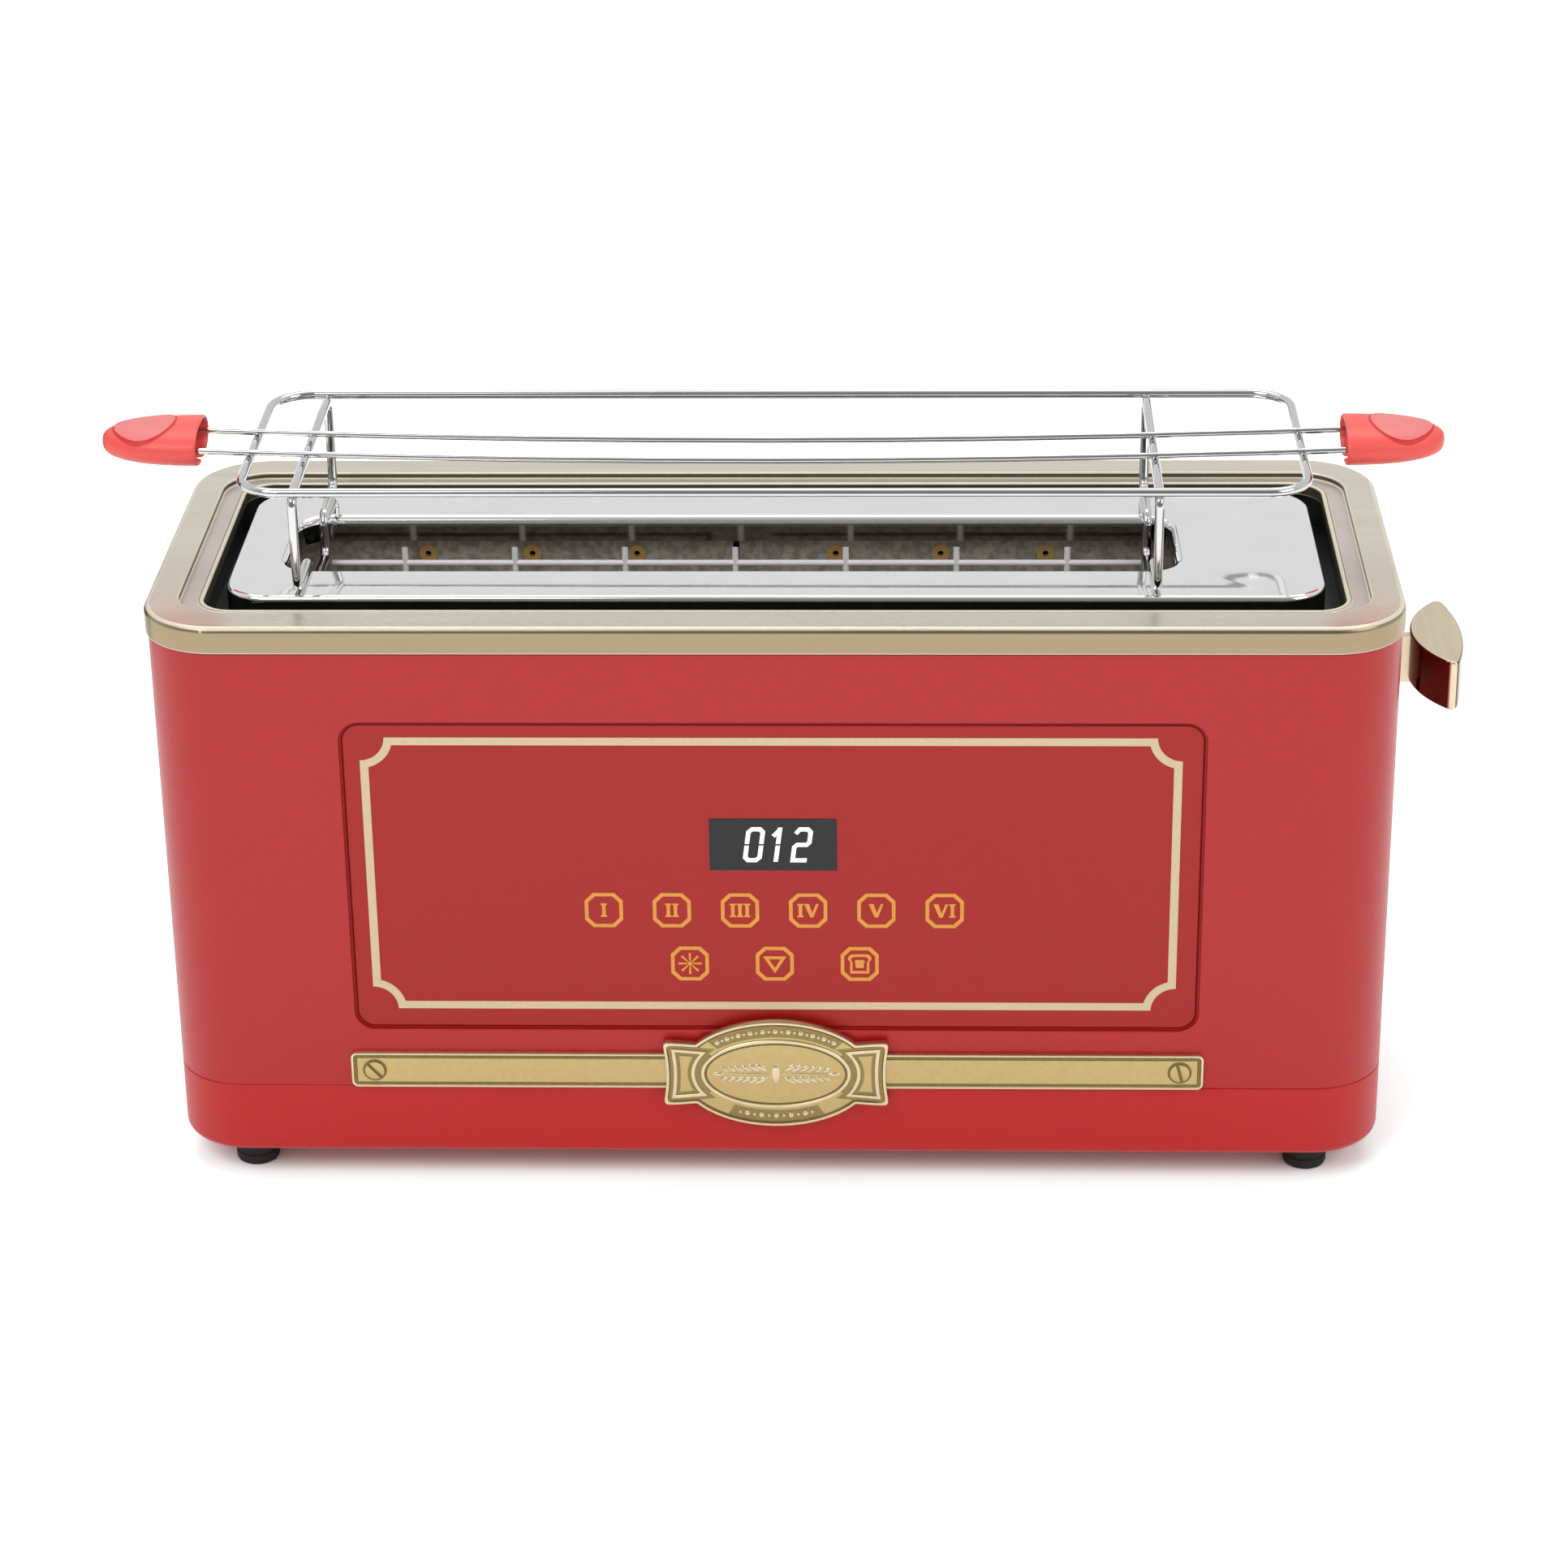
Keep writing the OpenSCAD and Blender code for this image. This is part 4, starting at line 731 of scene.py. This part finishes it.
def handle_ring(u, inset, length, half_w):
    """Section of a handle at u along it, inset from the outer skin, with the end notch."""
    a, b = (half - inset for half in handle_half(u, length, half_w))
    power = 2 / HANDLE_SECTION
    fade = 1 - smooth_step(0.0, NOTCH_FADE * NOTCH_DEPTH, u)
    floor_v, edge_v = (share * NOTCH_HALF for share in NOTCH_EDGE)
    ring = []
    for c, s in circle(HANDLE_STEPS):
        v = a * math.copysign(abs(c) ** power, c)
        w = b * math.copysign(abs(s) ** power, s)
        notch = NOTCH_DEPTH * (1 - smooth_step(floor_v, edge_v, abs(v))) * (w < 0)
        ring.append((u + notch * fade, v, w))
    return ring


def handle_pad(length, half_w):
    """Egg-shaped thumb pad: a low disc on the upper skin, with a deep red line round its edge, a
    painted shadow of the pad's step.
    """
    mid_u, reach = (PAD_START + PAD_END) / 2, (PAD_END - PAD_START) / 2
    # The first rows lay a deep red strip on the skin round the pad: a painted shadow of its step.
    line, pad, shadow_line_rise = 0, 1, 0.06
    profile = [(PAD_SHADOW_REACH, -0.3, line), (PAD_SHADOW_REACH, 0.05, line),
               (mix(1, PAD_SHADOW_REACH, 0.5), shadow_line_rise, line), (1.0, shadow_line_rise, line)]
    profile += [(scale, PAD_RISE, pad) for scale in (0.985, 0.95, 0.9, 0.8, 0.65, 0.5, 0.35, 0.2)]
    rings = []
    for scale, rise, tag in profile:
        ring = []
        for c, s in circle(HANDLE_STEPS):
            u = mid_u + scale * reach * c
            v = scale * PAD_HALF_W * s * (1 - PAD_EGG * c)
            skin = mix(handle_top(u, v, length, half_w), HANDLE_HALF_T, PAD_CROWN * tag)
            ring.append((u, v, skin + rise))
        rings.append(ring)
    top = mix(handle_top(mid_u, 0, length, half_w), HANDLE_HALF_T, PAD_CROWN) + PAD_RISE
    tags = [tag for scale, rise, tag in profile]
    return loft(rings, tags, start=(mid_u, 0.0, 0.0), end=(mid_u, 0.0, top))


def add_handle(node, outwards):
    """Grip and thumb pad of the handle that points along outwards, 1 or -1 in X."""
    low, high = node_box(node)
    length, half_w = high.x - low.x, (high.y - low.y) / 2
    root = low.x if outwards > 0 else high.x
    mid_y, mid_z = (low.y + high.y) / 2, low.z + HANDLE_HALF_T
    steps, mouth = 70, 0.6
    sections = [(CAVITY_DEPTH, CAVITY_WALL + 0.8), (1.0, CAVITY_WALL), (0.25, CAVITY_WALL - 0.2),
                (0.0, CAVITY_WALL - 0.5), (0.0, 0.5), (0.2, 0.15), (mouth, 0.0)]
    sections += [(mouth + (length - mouth) * math.sin(math.pi / 2 * i / steps), 0.0)
                 for i in range(1, steps)]
    rings = [handle_ring(u, inset, length, half_w) for u, inset in sections]
    grip = loft(rings, start=True, end=(length, 0.0, 0.0))
    pad = handle_pad(length, half_w)
    for name, materials, skin, replaced in (("grip", [CORAL], grip, [node]),
                                            ("pad", [CORAL_PAD_SHADOW, CORAL_PAD], pad, ())):
        points, faces, tags = skin
        points = [(root + outwards * u, mid_y + outwards * v, mid_z + w) for u, v, w in points]
        mesh = build_mesh(node + "_" + name, points, faces, tags)
        add_piece(node + "_" + name, mesh, materials, "rack", replaced)


add_handle("right_handle", 1)
add_handle("left_handle", -1)


# Strap and badge: a profile's rows are the inset from the edge, the height and the finish

def disc_half(radius, gap, turn, side, steps=32):
    """Outline of a disc on one side of a slot of half width gap, turned in its plane."""
    first = math.asin(gap / radius)
    c, s = math.cos(math.radians(turn)), math.sin(math.radians(turn))
    outline = []
    for i in range(steps + 1):
        a = mix(first, math.pi - first, i / steps)
        u, v = radius * math.cos(a), side * radius * math.sin(a)
        outline.append((u * c - v * s, u * s + v * c))
    return outline


def add_strap():
    """Strap with a pale rim, a dark groove and a sunk field, and its two slotted screws. The pale
    rim is a painted highlight, and the groove's dark is patina with painted shade.
    """
    low, high = node_box("front_strap")
    back, mid_x, mid_z = high.y, (low.x + high.x) / 2, (low.z + high.z) / 2
    width, height, face = high.x - low.x, high.z - low.z, high.y - low.y
    pale, groove, plain = 0, 1, 2
    soft, least_corner = 0.1, 0.3
    profile = [(0, 0, pale), (0, face - 0.45, pale), (0.13, face - 0.13, pale), (0.45, face, pale),
               (STRAP_RIM - soft, face, pale), (STRAP_RIM + soft, face - STRAP_SUNK, groove),
               (STRAP_GROOVE - soft, face - STRAP_SUNK, groove),
               (STRAP_GROOVE + soft, face - STRAP_FIELD, plain)]
    rings = []
    for inset, out, tag in profile:
        corner = max(STRAP_CORNER - inset, least_corner)
        outline = rounded_outline(width - 2 * inset, height - 2 * inset, corner)
        rings.append(upright(shifted(outline, mid_x, mid_z), back - out))
    tags = [tag for inset, out, tag in profile]
    mesh = build_mesh("strap", *loft(rings, tags, start=True, end=True))
    add_piece("strap_engraved", mesh, [BRASS_PALE_HIGHLIGHT, PATINA_AND_SHADE, BRASS], "toaster_body",
              ["front_strap"])

    # Slotted screws in dark seats, whose dark is patina with painted shade round the heads
    left, right = node_box("strap_screws")
    reach, field = (right.z - left.z) / 2, back - face + STRAP_FIELD
    brass, dark, seat_t = 0, 1, 0.2
    head = [(0, 0), (0, SCREW_RISE - 0.15), (0.05, SCREW_RISE - 0.04), (0.18, SCREW_RISE)]
    parts = []
    for x, turn in zip((left.x + reach, right.x - reach), SCREW_TURNS):
        seat = shifted(ellipse(2 * SCREW_SEAT, 2 * SCREW_SEAT), x, mid_z)
        parts.append(marked(prism(seat, field + seat_t / 2, seat_t), dark))
        for side in (1, -1):
            rings = []
            for inset, out in head:
                half = disc_half(SCREW_HEAD - inset, SCREW_SLOT + inset, turn, side)
                rings.append(upright(shifted(half, x, mid_z), field - out))
            parts.append(marked(loft(rings, start=True, end=True), brass))
    mesh = build_mesh("strap_screws_slotted", *join_parts(parts))
    add_piece("strap_screws_slotted", mesh, [BRASS, PATINA_AND_SHADE], "toaster_body",
              ["strap_screws"])


def wing_top(x, inset):
    """Upper line of a wing, at an inset from its edge."""
    slope = (WING_HALF[1] - WING_ROOT[1]) / (WING_HALF[0] - WING_ROOT[0])
    return WING_ROOT[1] + slope * (x - WING_ROOT[0]) - inset


def wing_end(z, inset):
    """Hollowed end line of a wing, at an inset from its edge."""
    return WING_HALF[0] - WING_SAG * (1 - (z / WING_HALF[1]) ** 2) - inset


def badge_outline(inset):
    """Outer line of the oval and its wings together, at an inset from the edge."""
    steps, blend, rounds = 480, 18, 24
    outline = []
    for i in range(steps):
        a = 2 * math.pi * (i + 0.5) / steps
        c, s = abs(math.cos(a)), abs(math.sin(a))
        oval = 1 / math.hypot(c / (BADGE_HALF[0] - inset), s / (BADGE_HALF[1] - inset))
        end = top = WING_HALF[0]
        for _ in range(rounds):
            end = wing_end(min(end * s, WING_HALF[1]), inset) / c
            top = wing_top(min(top * c, WING_HALF[0]), inset) / s
        wing = (end ** -blend + top ** -blend) ** (-1 / blend)
        reach = max(oval, wing)
        outline.append((reach * math.cos(a), reach * math.sin(a)))
    return outline


def wing_panel(inset):
    """Outline of a wing's framed panel: an arc beside the oval, straight sides, a hollowed end."""
    edge = WING_FRAME + inset
    arc = [half + inset for half in WING_ARC]
    steps, rounds = 16, 12

    def arc_x(z):
        return arc[0] * math.sqrt(1 - (z / arc[1]) ** 2)

    root_z, end_z = wing_top(WING_ROOT[0], edge), WING_HALF[1] - edge
    for _ in range(rounds):
        root_z = wing_top(arc_x(root_z), edge)
        end_z = wing_top(wing_end(end_z, edge), edge)
    inner = [mix(-root_z, root_z, i / steps) for i in range(steps + 1)]
    outer = [mix(end_z, -end_z, i / steps) for i in range(steps + 1)]
    return [(arc_x(z), z) for z in inner] + [(wing_end(z, edge), z) for z in outer]


def arc_band(inner, outer, first, last, steps=40):
    """Outline between two ellipses of half sizes inner and outer, from one angle to another."""
    angles = [math.radians(mix(first, last, i / steps)) for i in range(steps + 1)]
    return ([(inner[0] * math.cos(a), inner[1] * math.sin(a)) for a in angles]
            + [(outer[0] * math.cos(a), outer[1] * math.sin(a)) for a in reversed(angles)])


def mirrored(outline):
    return [(-x, z) for x, z in reversed(outline)]


def dome(centre, radii, turn=0, steps=12, levels=4):
    """Low dome on the badge's face: a half ellipsoid, turned in the face's plane."""
    x0, y0, z0 = centre
    rings = []
    for k in range(levels):
        b = math.pi / 2 * k / levels
        ring = []
        for c, s in circle(steps):
            u, v = radii[0] * math.cos(b) * c, radii[1] * math.cos(b) * s
            ring.append((x0 + u * math.cos(turn) - v * math.sin(turn),
                         y0 - radii[2] * math.sin(b),
                         z0 + u * math.sin(turn) + v * math.cos(turn)))
        rings.append(ring)
    return loft(rings, start=True, end=(x0, y0 - radii[2], z0))


def add_badge():
    """Cast badge: an oval with a raised ring, between two wings with framed panels."""
    low, high = node_box("oval_badge")
    back, mid_z = high.y, (low.z + high.z) / 2
    rim, floor = high.y - low.y, BADGE_FLOOR
    sink = floor - BADGE_SINK
    pale, stipple, groove, plain = 0, 1, 2, 3

    def layer(outline, out):
        """Ring of points of an outline about the badge's middle, at a height from its back."""
        return upright(shifted(outline, 0, mid_z), back - out)

    # Casting: outer rim, groove and floor
    profile = [(0, 0, pale), (0, rim - 0.4, pale), (0.12, rim - 0.12, pale), (0.4, rim, pale),
               (0.95, rim, pale), (1.15, floor - 0.15, groove), (1.6, floor - 0.15, groove),
               (1.75, floor, plain)]
    rings = [layer(badge_outline(inset), out) for inset, out, tag in profile]
    tags = [tag for inset, out, tag in profile]
    parts = [loft(rings, tags, start=True, end=(0, back - floor, mid_z))]

    # Stippled sinks: above and below the ring, beside it and round the wings' frames
    rim_w, proud = 1.7, 0.02
    inner = (RING_HALF[0] + 1.0, RING_HALF[1] + 0.9)
    outer = (BADGE_HALF[0] - rim_w, BADGE_HALF[1] - rim_w)
    beside = (WING_ARC[0] + 0.2, WING_ARC[1] + 0.2)
    sinks = [(arc_band(inner, outer, 42, 138), floor), (arc_band(inner, outer, 238, 302), floor)]
    for outline, face in ((arc_band(RING_HALF, beside, -31, 31), rim - 0.4),
                          (wing_panel(-1.1), floor)):
        sinks += [(outline, face), (mirrored(outline), face)]
    for outline, face in sinks:
        plate = prism(shifted(outline, 0, mid_z), back - sink, face + proud - sink)
        parts.append(marked(plate, stipple))

    # Wing frames and panels, as heights over loops of growing inset
    frame_rows = [(0, sink), (0, rim - 0.2), (0.15, rim - 0.08), (0.95, rim - 0.08),
                  (1.1, rim - 0.2), (1.1, sink)]
    panel_rows = [(2.15, sink), (2.15, rim - 0.35), (2.3, rim - 0.22)]
    for mirror in (False, True):
        frame_rings, panel_rings = (
            [layer(mirrored(wing_panel(inset)) if mirror else wing_panel(inset), out)
             for inset, out in rows] for rows in (frame_rows, panel_rows))
        parts.append(marked(loft(frame_rings + frame_rings[:1]), pale))
        parts.append(marked(loft(panel_rings, start=True, end=True), plain))

    # Raised ring, groove and inner field
    profile = [(0, sink, pale), (0, rim - 0.2, pale), (0.15, rim - 0.05, pale),
               (RING_W - 0.15, rim - 0.05, pale), (RING_W, rim - 0.2, pale),
               (RING_W + 0.05, floor + 0.03, groove), (1.7, floor + 0.03, groove),
               (1.85, floor + 0.22, plain), (6.0, floor + 0.25, plain)]
    rings = [layer(ellipse(2 * (RING_HALF[0] - inset), 2 * (RING_HALF[1] - inset)), out)
             for inset, out, tag in profile]
    tags = [tag for inset, out, tag in profile]
    parts.append(loft(rings, tags, start=True, end=(0, back - floor - 0.25, mid_z)))
    mesh = build_mesh("badge", *join_parts(parts))
    add_piece("oval_badge_engraved", mesh, [BRASS_PALE_HIGHLIGHT, BRASS_STIPPLE, PATINA_AND_SHADE, BRASS],
              "toaster_body", ["oval_badge"])


def add_ornament():
    """Beads in the badge's sinks, and two ears of wheat in its field."""
    low, high = node_box("oval_badge")
    mid_z, floor_y = (low.z + high.z) / 2, high.y - BADGE_FLOOR
    large, small, bead_rise = 0.95, 0.6, 0.55
    parts = []
    for middle, count, pitch in ((90, 10, 4.3), (270, 5, 5.0)):
        for i in range(-count, count + 1):
            a = math.radians(middle + i * pitch)
            size = large if i % 2 == 0 else small
            centre = (BAND_HALF[0] * math.cos(a), floor_y, mid_z + BAND_HALF[1] * math.sin(a))
            parts.append(dome(centre, (size, size, bead_rise)))

    field_y = floor_y - 0.2
    grains, first_x, grain_pitch, grain_z = 6, 4.6, 2.35, 2.3
    grain, grain_turn = (2.35, 0.95, 0.55), math.radians(32)
    for side in (1, -1):
        for k in range(grains):
            shrink = 1 - 0.06 * k
            radii = (grain[0] * shrink, grain[1] * shrink, grain[2])
            for lean in (1, -1):
                centre = (side * (first_x + grain_pitch * k), field_y,
                          mid_z + lean * grain_z * shrink)
                parts.append(dome(centre, radii, side * lean * grain_turn))
        parts.append(dome((side * 18.4, field_y, mid_z), (2.0, 0.8, 0.5)))
        parts.append(dome((side * 9.5, field_y, mid_z), (8.4, 0.35, 0.4)))
    parts.append(dome((0, field_y, mid_z), (1.5, 3.6, 0.6)))
    mesh = build_mesh("badge_ornament", *join_parts(parts))
    add_piece("badge_ornament", mesh, [BRASS_PALE_HIGHLIGHT], "toaster_body")


add_strap()
add_badge()
add_ornament()


# Keys, display and printed marks

def octagon(width):
    """Square outline with its corners cut off."""
    half, side = width / 2, width * (0.5 - KEY_CUT)
    return [(half, side), (side, half), (-side, half), (-half, side),
            (-half, -side), (-side, -half), (side, -half), (half, -side)]


def numeral_one():
    """Outline and width of the numeral one, with serifs."""
    h, stem, serif, foot = NUMERAL_H / 2, 0.55, 1.0, 0.55
    outline = [(-serif, -h), (serif, -h), (serif, -h + foot), (stem, -h + foot),
               (stem, h - foot), (serif, h - foot), (serif, h), (-serif, h),
               (-serif, h - foot), (-stem, h - foot), (-stem, -h + foot), (-serif, -h + foot)]
    return outline, 2 * serif


def numeral_five():
    """Outline and width of the numeral five, with one thick and one thin arm."""
    h, spread, thick, thin = NUMERAL_H / 2, 2.0, 1.25, 0.8
    outline = [(-0.5, -h), (0.5, -h), (spread + 0.2, h), (spread + 0.2 - thin, h),
               (0.15, -h + 1.5), (-spread - 0.2 + thick + 0.1, h), (-spread - 0.4, h)]
    return outline, 2 * spread + 0.6


def numeral(value):
    """Outlines of a roman numeral from one to six, centred."""
    signs = {1: numeral_one(), 5: numeral_five()}
    row = {1: [1], 2: [1, 1], 3: [1, 1, 1], 4: [1, 5], 5: [5], 6: [5, 1]}[value]
    x = -(sum(signs[sign][1] for sign in row) + NUMERAL_GAP * (len(row) - 1)) / 2
    outlines = []
    for sign in row:
        outline, width = signs[sign]
        outlines.append(shifted(outline, x + width / 2, 0))
        x += width + NUMERAL_GAP
    return outlines


def frost_star():
    """Eight spokes, widening outwards, round a hub."""
    hub_r, spokes = 0.75, circle(8)
    spoke = [(0.95, -0.22), (3.7, -0.38), (3.7, 0.38), (0.95, 0.22)]
    outlines = [[(hub_r * c, hub_r * s) for c, s in spokes]]
    for c, s in spokes:
        outlines.append([(u * c - v * s, u * s + v * c) for u, v in spoke])
    return outlines


def bread_slice(width, height):
    """Outline of a slice of bread, with a domed top wider than its sides."""
    w, h, steps = width / 2, height / 2, 8
    outline = [(-0.82 * w, -h), (0.82 * w, -h), (0.82 * w, 0.25 * h)]
    for first, side in ((-50, 1), (90, -1)):
        for i in range(steps + 1):
            a = math.radians(first + 140 * i / steps)
            outline.append((side * 0.55 * w + 0.45 * w * math.cos(a),
                            0.58 * h + 0.42 * h * math.sin(a)))
    outline.append((-0.82 * w, 0.25 * h))
    return outline


def add_keys():
    """Printed key outlines with their marks: numerals above, star, triangle and slice below."""
    low, high = node_box("key_outlines")
    y = high.y
    high_z, low_z = high.z - KEY_W / 2, low.z + KEY_W / 2
    places = [((i - 2.5) * KEY_PITCH, high_z) for i in range(6)]
    places += [(i * LOW_KEY_PITCH, low_z) for i in (-1, 0, 1)]

    def plate(place, outline):
        return prism(shifted(outline, *place), y, PRINT_T)

    def line(place, outer, inner):
        return ring_prism(shifted(outer, *place), shifted(inner, *place), y, PRINT_T)

    parts = [line(place, octagon(KEY_W), octagon(KEY_W - 2 * KEY_LINE)) for place in places]
    for value, place in enumerate(places[:6], 1):
        parts += [plate(place, outline) for outline in numeral(value)]
    star, triangle, bread = places[6:]
    parts += [plate(star, outline) for outline in frost_star()]
    parts.append(line(triangle, [(-3.7, 2.6), (0, -3.4), (3.7, 2.6)],
                      [(-1.9, 1.6), (0, -1.5), (1.9, 1.6)]))
    parts.append(line(bread, bread_slice(7.4, 6.8), bread_slice(5.5, 5.0)))
    parts.append(plate(bread, bread_slice(3.2, 2.8)))
    mesh = build_mesh("key_print", *join_parts(parts))
    add_piece("key_print", mesh, [GOLD], "toaster_body", ["key_outlines"])


def stroke(path, width):
    """Outline of a line of even width along a path, with mitred corners."""
    left, right = [], []
    for i, point in enumerate(path):
        before = Vector(point) - Vector(path[i - 1]) if i else None
        after = Vector(path[i + 1]) - Vector(point) if i + 1 < len(path) else None
        before, after = (before or after).normalized(), (after or before).normalized()
        across = Vector((-before.y - after.y, before.x + after.x)).normalized()
        reach = width / 2 / across.dot(Vector((-after.y, after.x)))
        left.append(tuple(Vector(point) + across * reach))
        right.append(tuple(Vector(point) - across * reach))
    return left + right[::-1]


def digit_paths():
    """Lines of the digits zero, one and two, each about its own middle."""
    w, h = DIGIT_HALF
    c, gap = DIGIT_CORNER, DIGIT_GAP
    half = [(-w, gap), (-w, h - c), (-w + c, h), (w - c, h), (w, h - c), (w, gap)]
    zero = [half, [(x, -z) for x, z in half]]
    one = [[(0, gap), (0, h + 0.6)], [(0, -gap), (0, -h - 0.5)], [(-0.1, h - 0.3), (-1.8, h - 2.4)]]
    two = [[(-w - 0.1, h - 1.5), (-w + c, h), (w - c, h), (w, h - c), (w, 0.8), (w - 0.8, 0),
            (0.8 - w, 0), (-w, -0.8), (-w, -h), (w - 0.1, -h)]]
    return [zero, one, two]


def add_digits():
    """Lit digits on the display, slanted to the right."""
    low, high = node_box("display_window")
    mid_x, mid_z = (low.x + high.x) / 2 + DIGIT_SHIFT, (low.z + high.z) / 2
    parts = []
    for i, paths in enumerate(digit_paths()):
        for path in paths:
            outline = [(u + DIGIT_SLANT * v, v) for u, v in stroke(path, DIGIT_BAR)]
            placed = shifted(outline, mid_x + (i - 1) * DIGIT_PITCH, mid_z)
            parts.append(prism(placed, low.y, PRINT_T))
    mesh = build_mesh("digits", *join_parts(parts))
    add_piece("lit_digits", mesh, [DIGIT], "toaster_body", ["display_digits"])


add_keys()
add_digits()
paint("panel_border", CREAM)
dress("display_window", [GLASS], GLASS_EDGE)


# Floor, world and lamps

def any_ray(nodes, links, path, *kinds):
    """1 for a ray of any of these kinds, else 0."""
    result = path.outputs[kinds[0]]
    for kind in kinds[1:]:
        larger = nodes.new("ShaderNodeMath")
        larger.operation = "MAXIMUM"
        links.new(result, larger.inputs[0])
        links.new(path.outputs[kind], larger.inputs[1])
        result = larger.outputs[0]
    return result


def add_floor():
    """Plain pale floor, white where it is seen in full light, straight or in gloss."""
    mesh = bpy.data.meshes.new("floor")
    corners = [(FLOOR_HALF * x, FLOOR_HALF * y, 0) for x, y in ((-1, -1), (1, -1), (1, 1), (-1, 1))]
    mesh.from_pydata(corners, [], [(0, 1, 2, 3)])
    floor = link_object("floor", mesh)
    material = bpy.data.materials.new("pale_floor")
    material.use_nodes = True
    nodes, links = material.node_tree.nodes, material.node_tree.links
    nodes.remove(nodes["Principled BSDF"])
    shader = nodes.new("ShaderNodeBsdfDiffuse")
    path = nodes.new("ShaderNodeLightPath")
    in_gloss, in_view = nodes.new("ShaderNodeMix"), nodes.new("ShaderNodeMix")
    for tone, seen in ((in_gloss, FLOOR_GLOSS), (in_view, FLOOR_SEEN)):
        tone.data_type = "RGBA"
        tone.clamp_result = False
        tone.inputs["B"].default_value = seen
    in_gloss.inputs["A"].default_value = FLOOR_TONE
    links.new(any_ray(nodes, links, path, "Is Glossy Ray", "Is Transmission Ray"),
              in_gloss.inputs["Factor"])
    links.new(path.outputs["Is Camera Ray"], in_view.inputs["Factor"])
    links.new(in_gloss.outputs["Result"], in_view.inputs["A"])
    links.new(in_view.outputs["Result"], shader.inputs["Color"])
    links.new(shader.outputs["BSDF"], nodes["Material Output"].inputs["Surface"])
    mesh.materials.append(material)


def add_world():
    """Even white light; in gloss the side behind the camera is dimmer, as a studio is."""
    world = bpy.data.worlds.new("studio")
    bpy.context.scene.world = world
    world.use_nodes = True
    nodes, links = world.node_tree.nodes, world.node_tree.links
    light = nodes["Background"]
    light.inputs["Color"].default_value = WHITE
    light.inputs["Strength"].default_value = AMBIENT
    path = nodes.new("ShaderNodeLightPath")
    direction = nodes.new("ShaderNodeTexCoord")
    split = nodes.new("ShaderNodeSeparateXYZ")
    links.new(direction.outputs["Generated"], split.inputs["Vector"])
    fade = nodes.new("ShaderNodeMapRange")
    fade.interpolation_type = "SMOOTHSTEP"
    fade.inputs["From Min"].default_value, fade.inputs["From Max"].default_value = FRONT_FADE
    fade.inputs["To Min"].default_value = FRONT_DIM
    fade.inputs["To Max"].default_value = 1.0
    links.new(split.outputs["Y"], fade.inputs["Value"])
    studio = nodes.new("ShaderNodeBackground")
    links.new(fade.outputs["Result"], studio.inputs["Strength"])
    backdrop = nodes.new("ShaderNodeBackground")
    backdrop.inputs["Color"].default_value = WHITE
    gloss = nodes.new("ShaderNodeMixShader")
    links.new(path.outputs["Is Glossy Ray"], gloss.inputs["Fac"])
    links.new(light.outputs["Background"], gloss.inputs[1])
    links.new(studio.outputs["Background"], gloss.inputs[2])
    choice = nodes.new("ShaderNodeMixShader")
    links.new(any_ray(nodes, links, path, "Is Camera Ray", "Is Transmission Ray"),
              choice.inputs["Fac"])
    links.new(gloss.outputs["Shader"], choice.inputs[1])
    links.new(backdrop.outputs["Background"], choice.inputs[2])
    links.new(choice.outputs["Shader"], nodes["World Output"].inputs["Surface"])


def add_flag():
    """Dark card behind the left end, seen only in gloss, that draws the bright metal's edge."""
    mesh = bpy.data.meshes.new("flag")
    (near, far), (bottom, top) = FLAG_Y, FLAG_Z
    mesh.from_pydata([(0, near, bottom), (0, far, bottom), (0, far, top), (0, near, top)], [],
                     [(0, 1, 2, 3)])
    mesh.materials.append(BLACK)
    flag = link_object("flag", mesh)
    flag.location = (FLAG_X, 0, 0)
    flag.visible_camera = flag.visible_diffuse = False
    flag.visible_shadow = flag.visible_transmission = False


def add_lamp(name, place, size, power):
    """Soft box aimed at the middle of the toaster."""
    data = bpy.data.lights.new(name, "AREA")
    data.shape = "RECTANGLE"
    data.size, data.size_y = size
    data.energy = power
    lamp = link_object(name, data)
    turn = (Vector(LAMP_AIM) - Vector(place)).to_track_quat("-Z", "Y").to_matrix()
    lamp.matrix_world = Matrix.Translation(place) @ turn.to_4x4()


add_floor()
add_world()
add_flag()
for lamp_name, lamp_values in LAMPS.items():
    add_lamp(lamp_name, *lamp_values)

bpy.context.scene.view_settings.view_transform = "Standard"
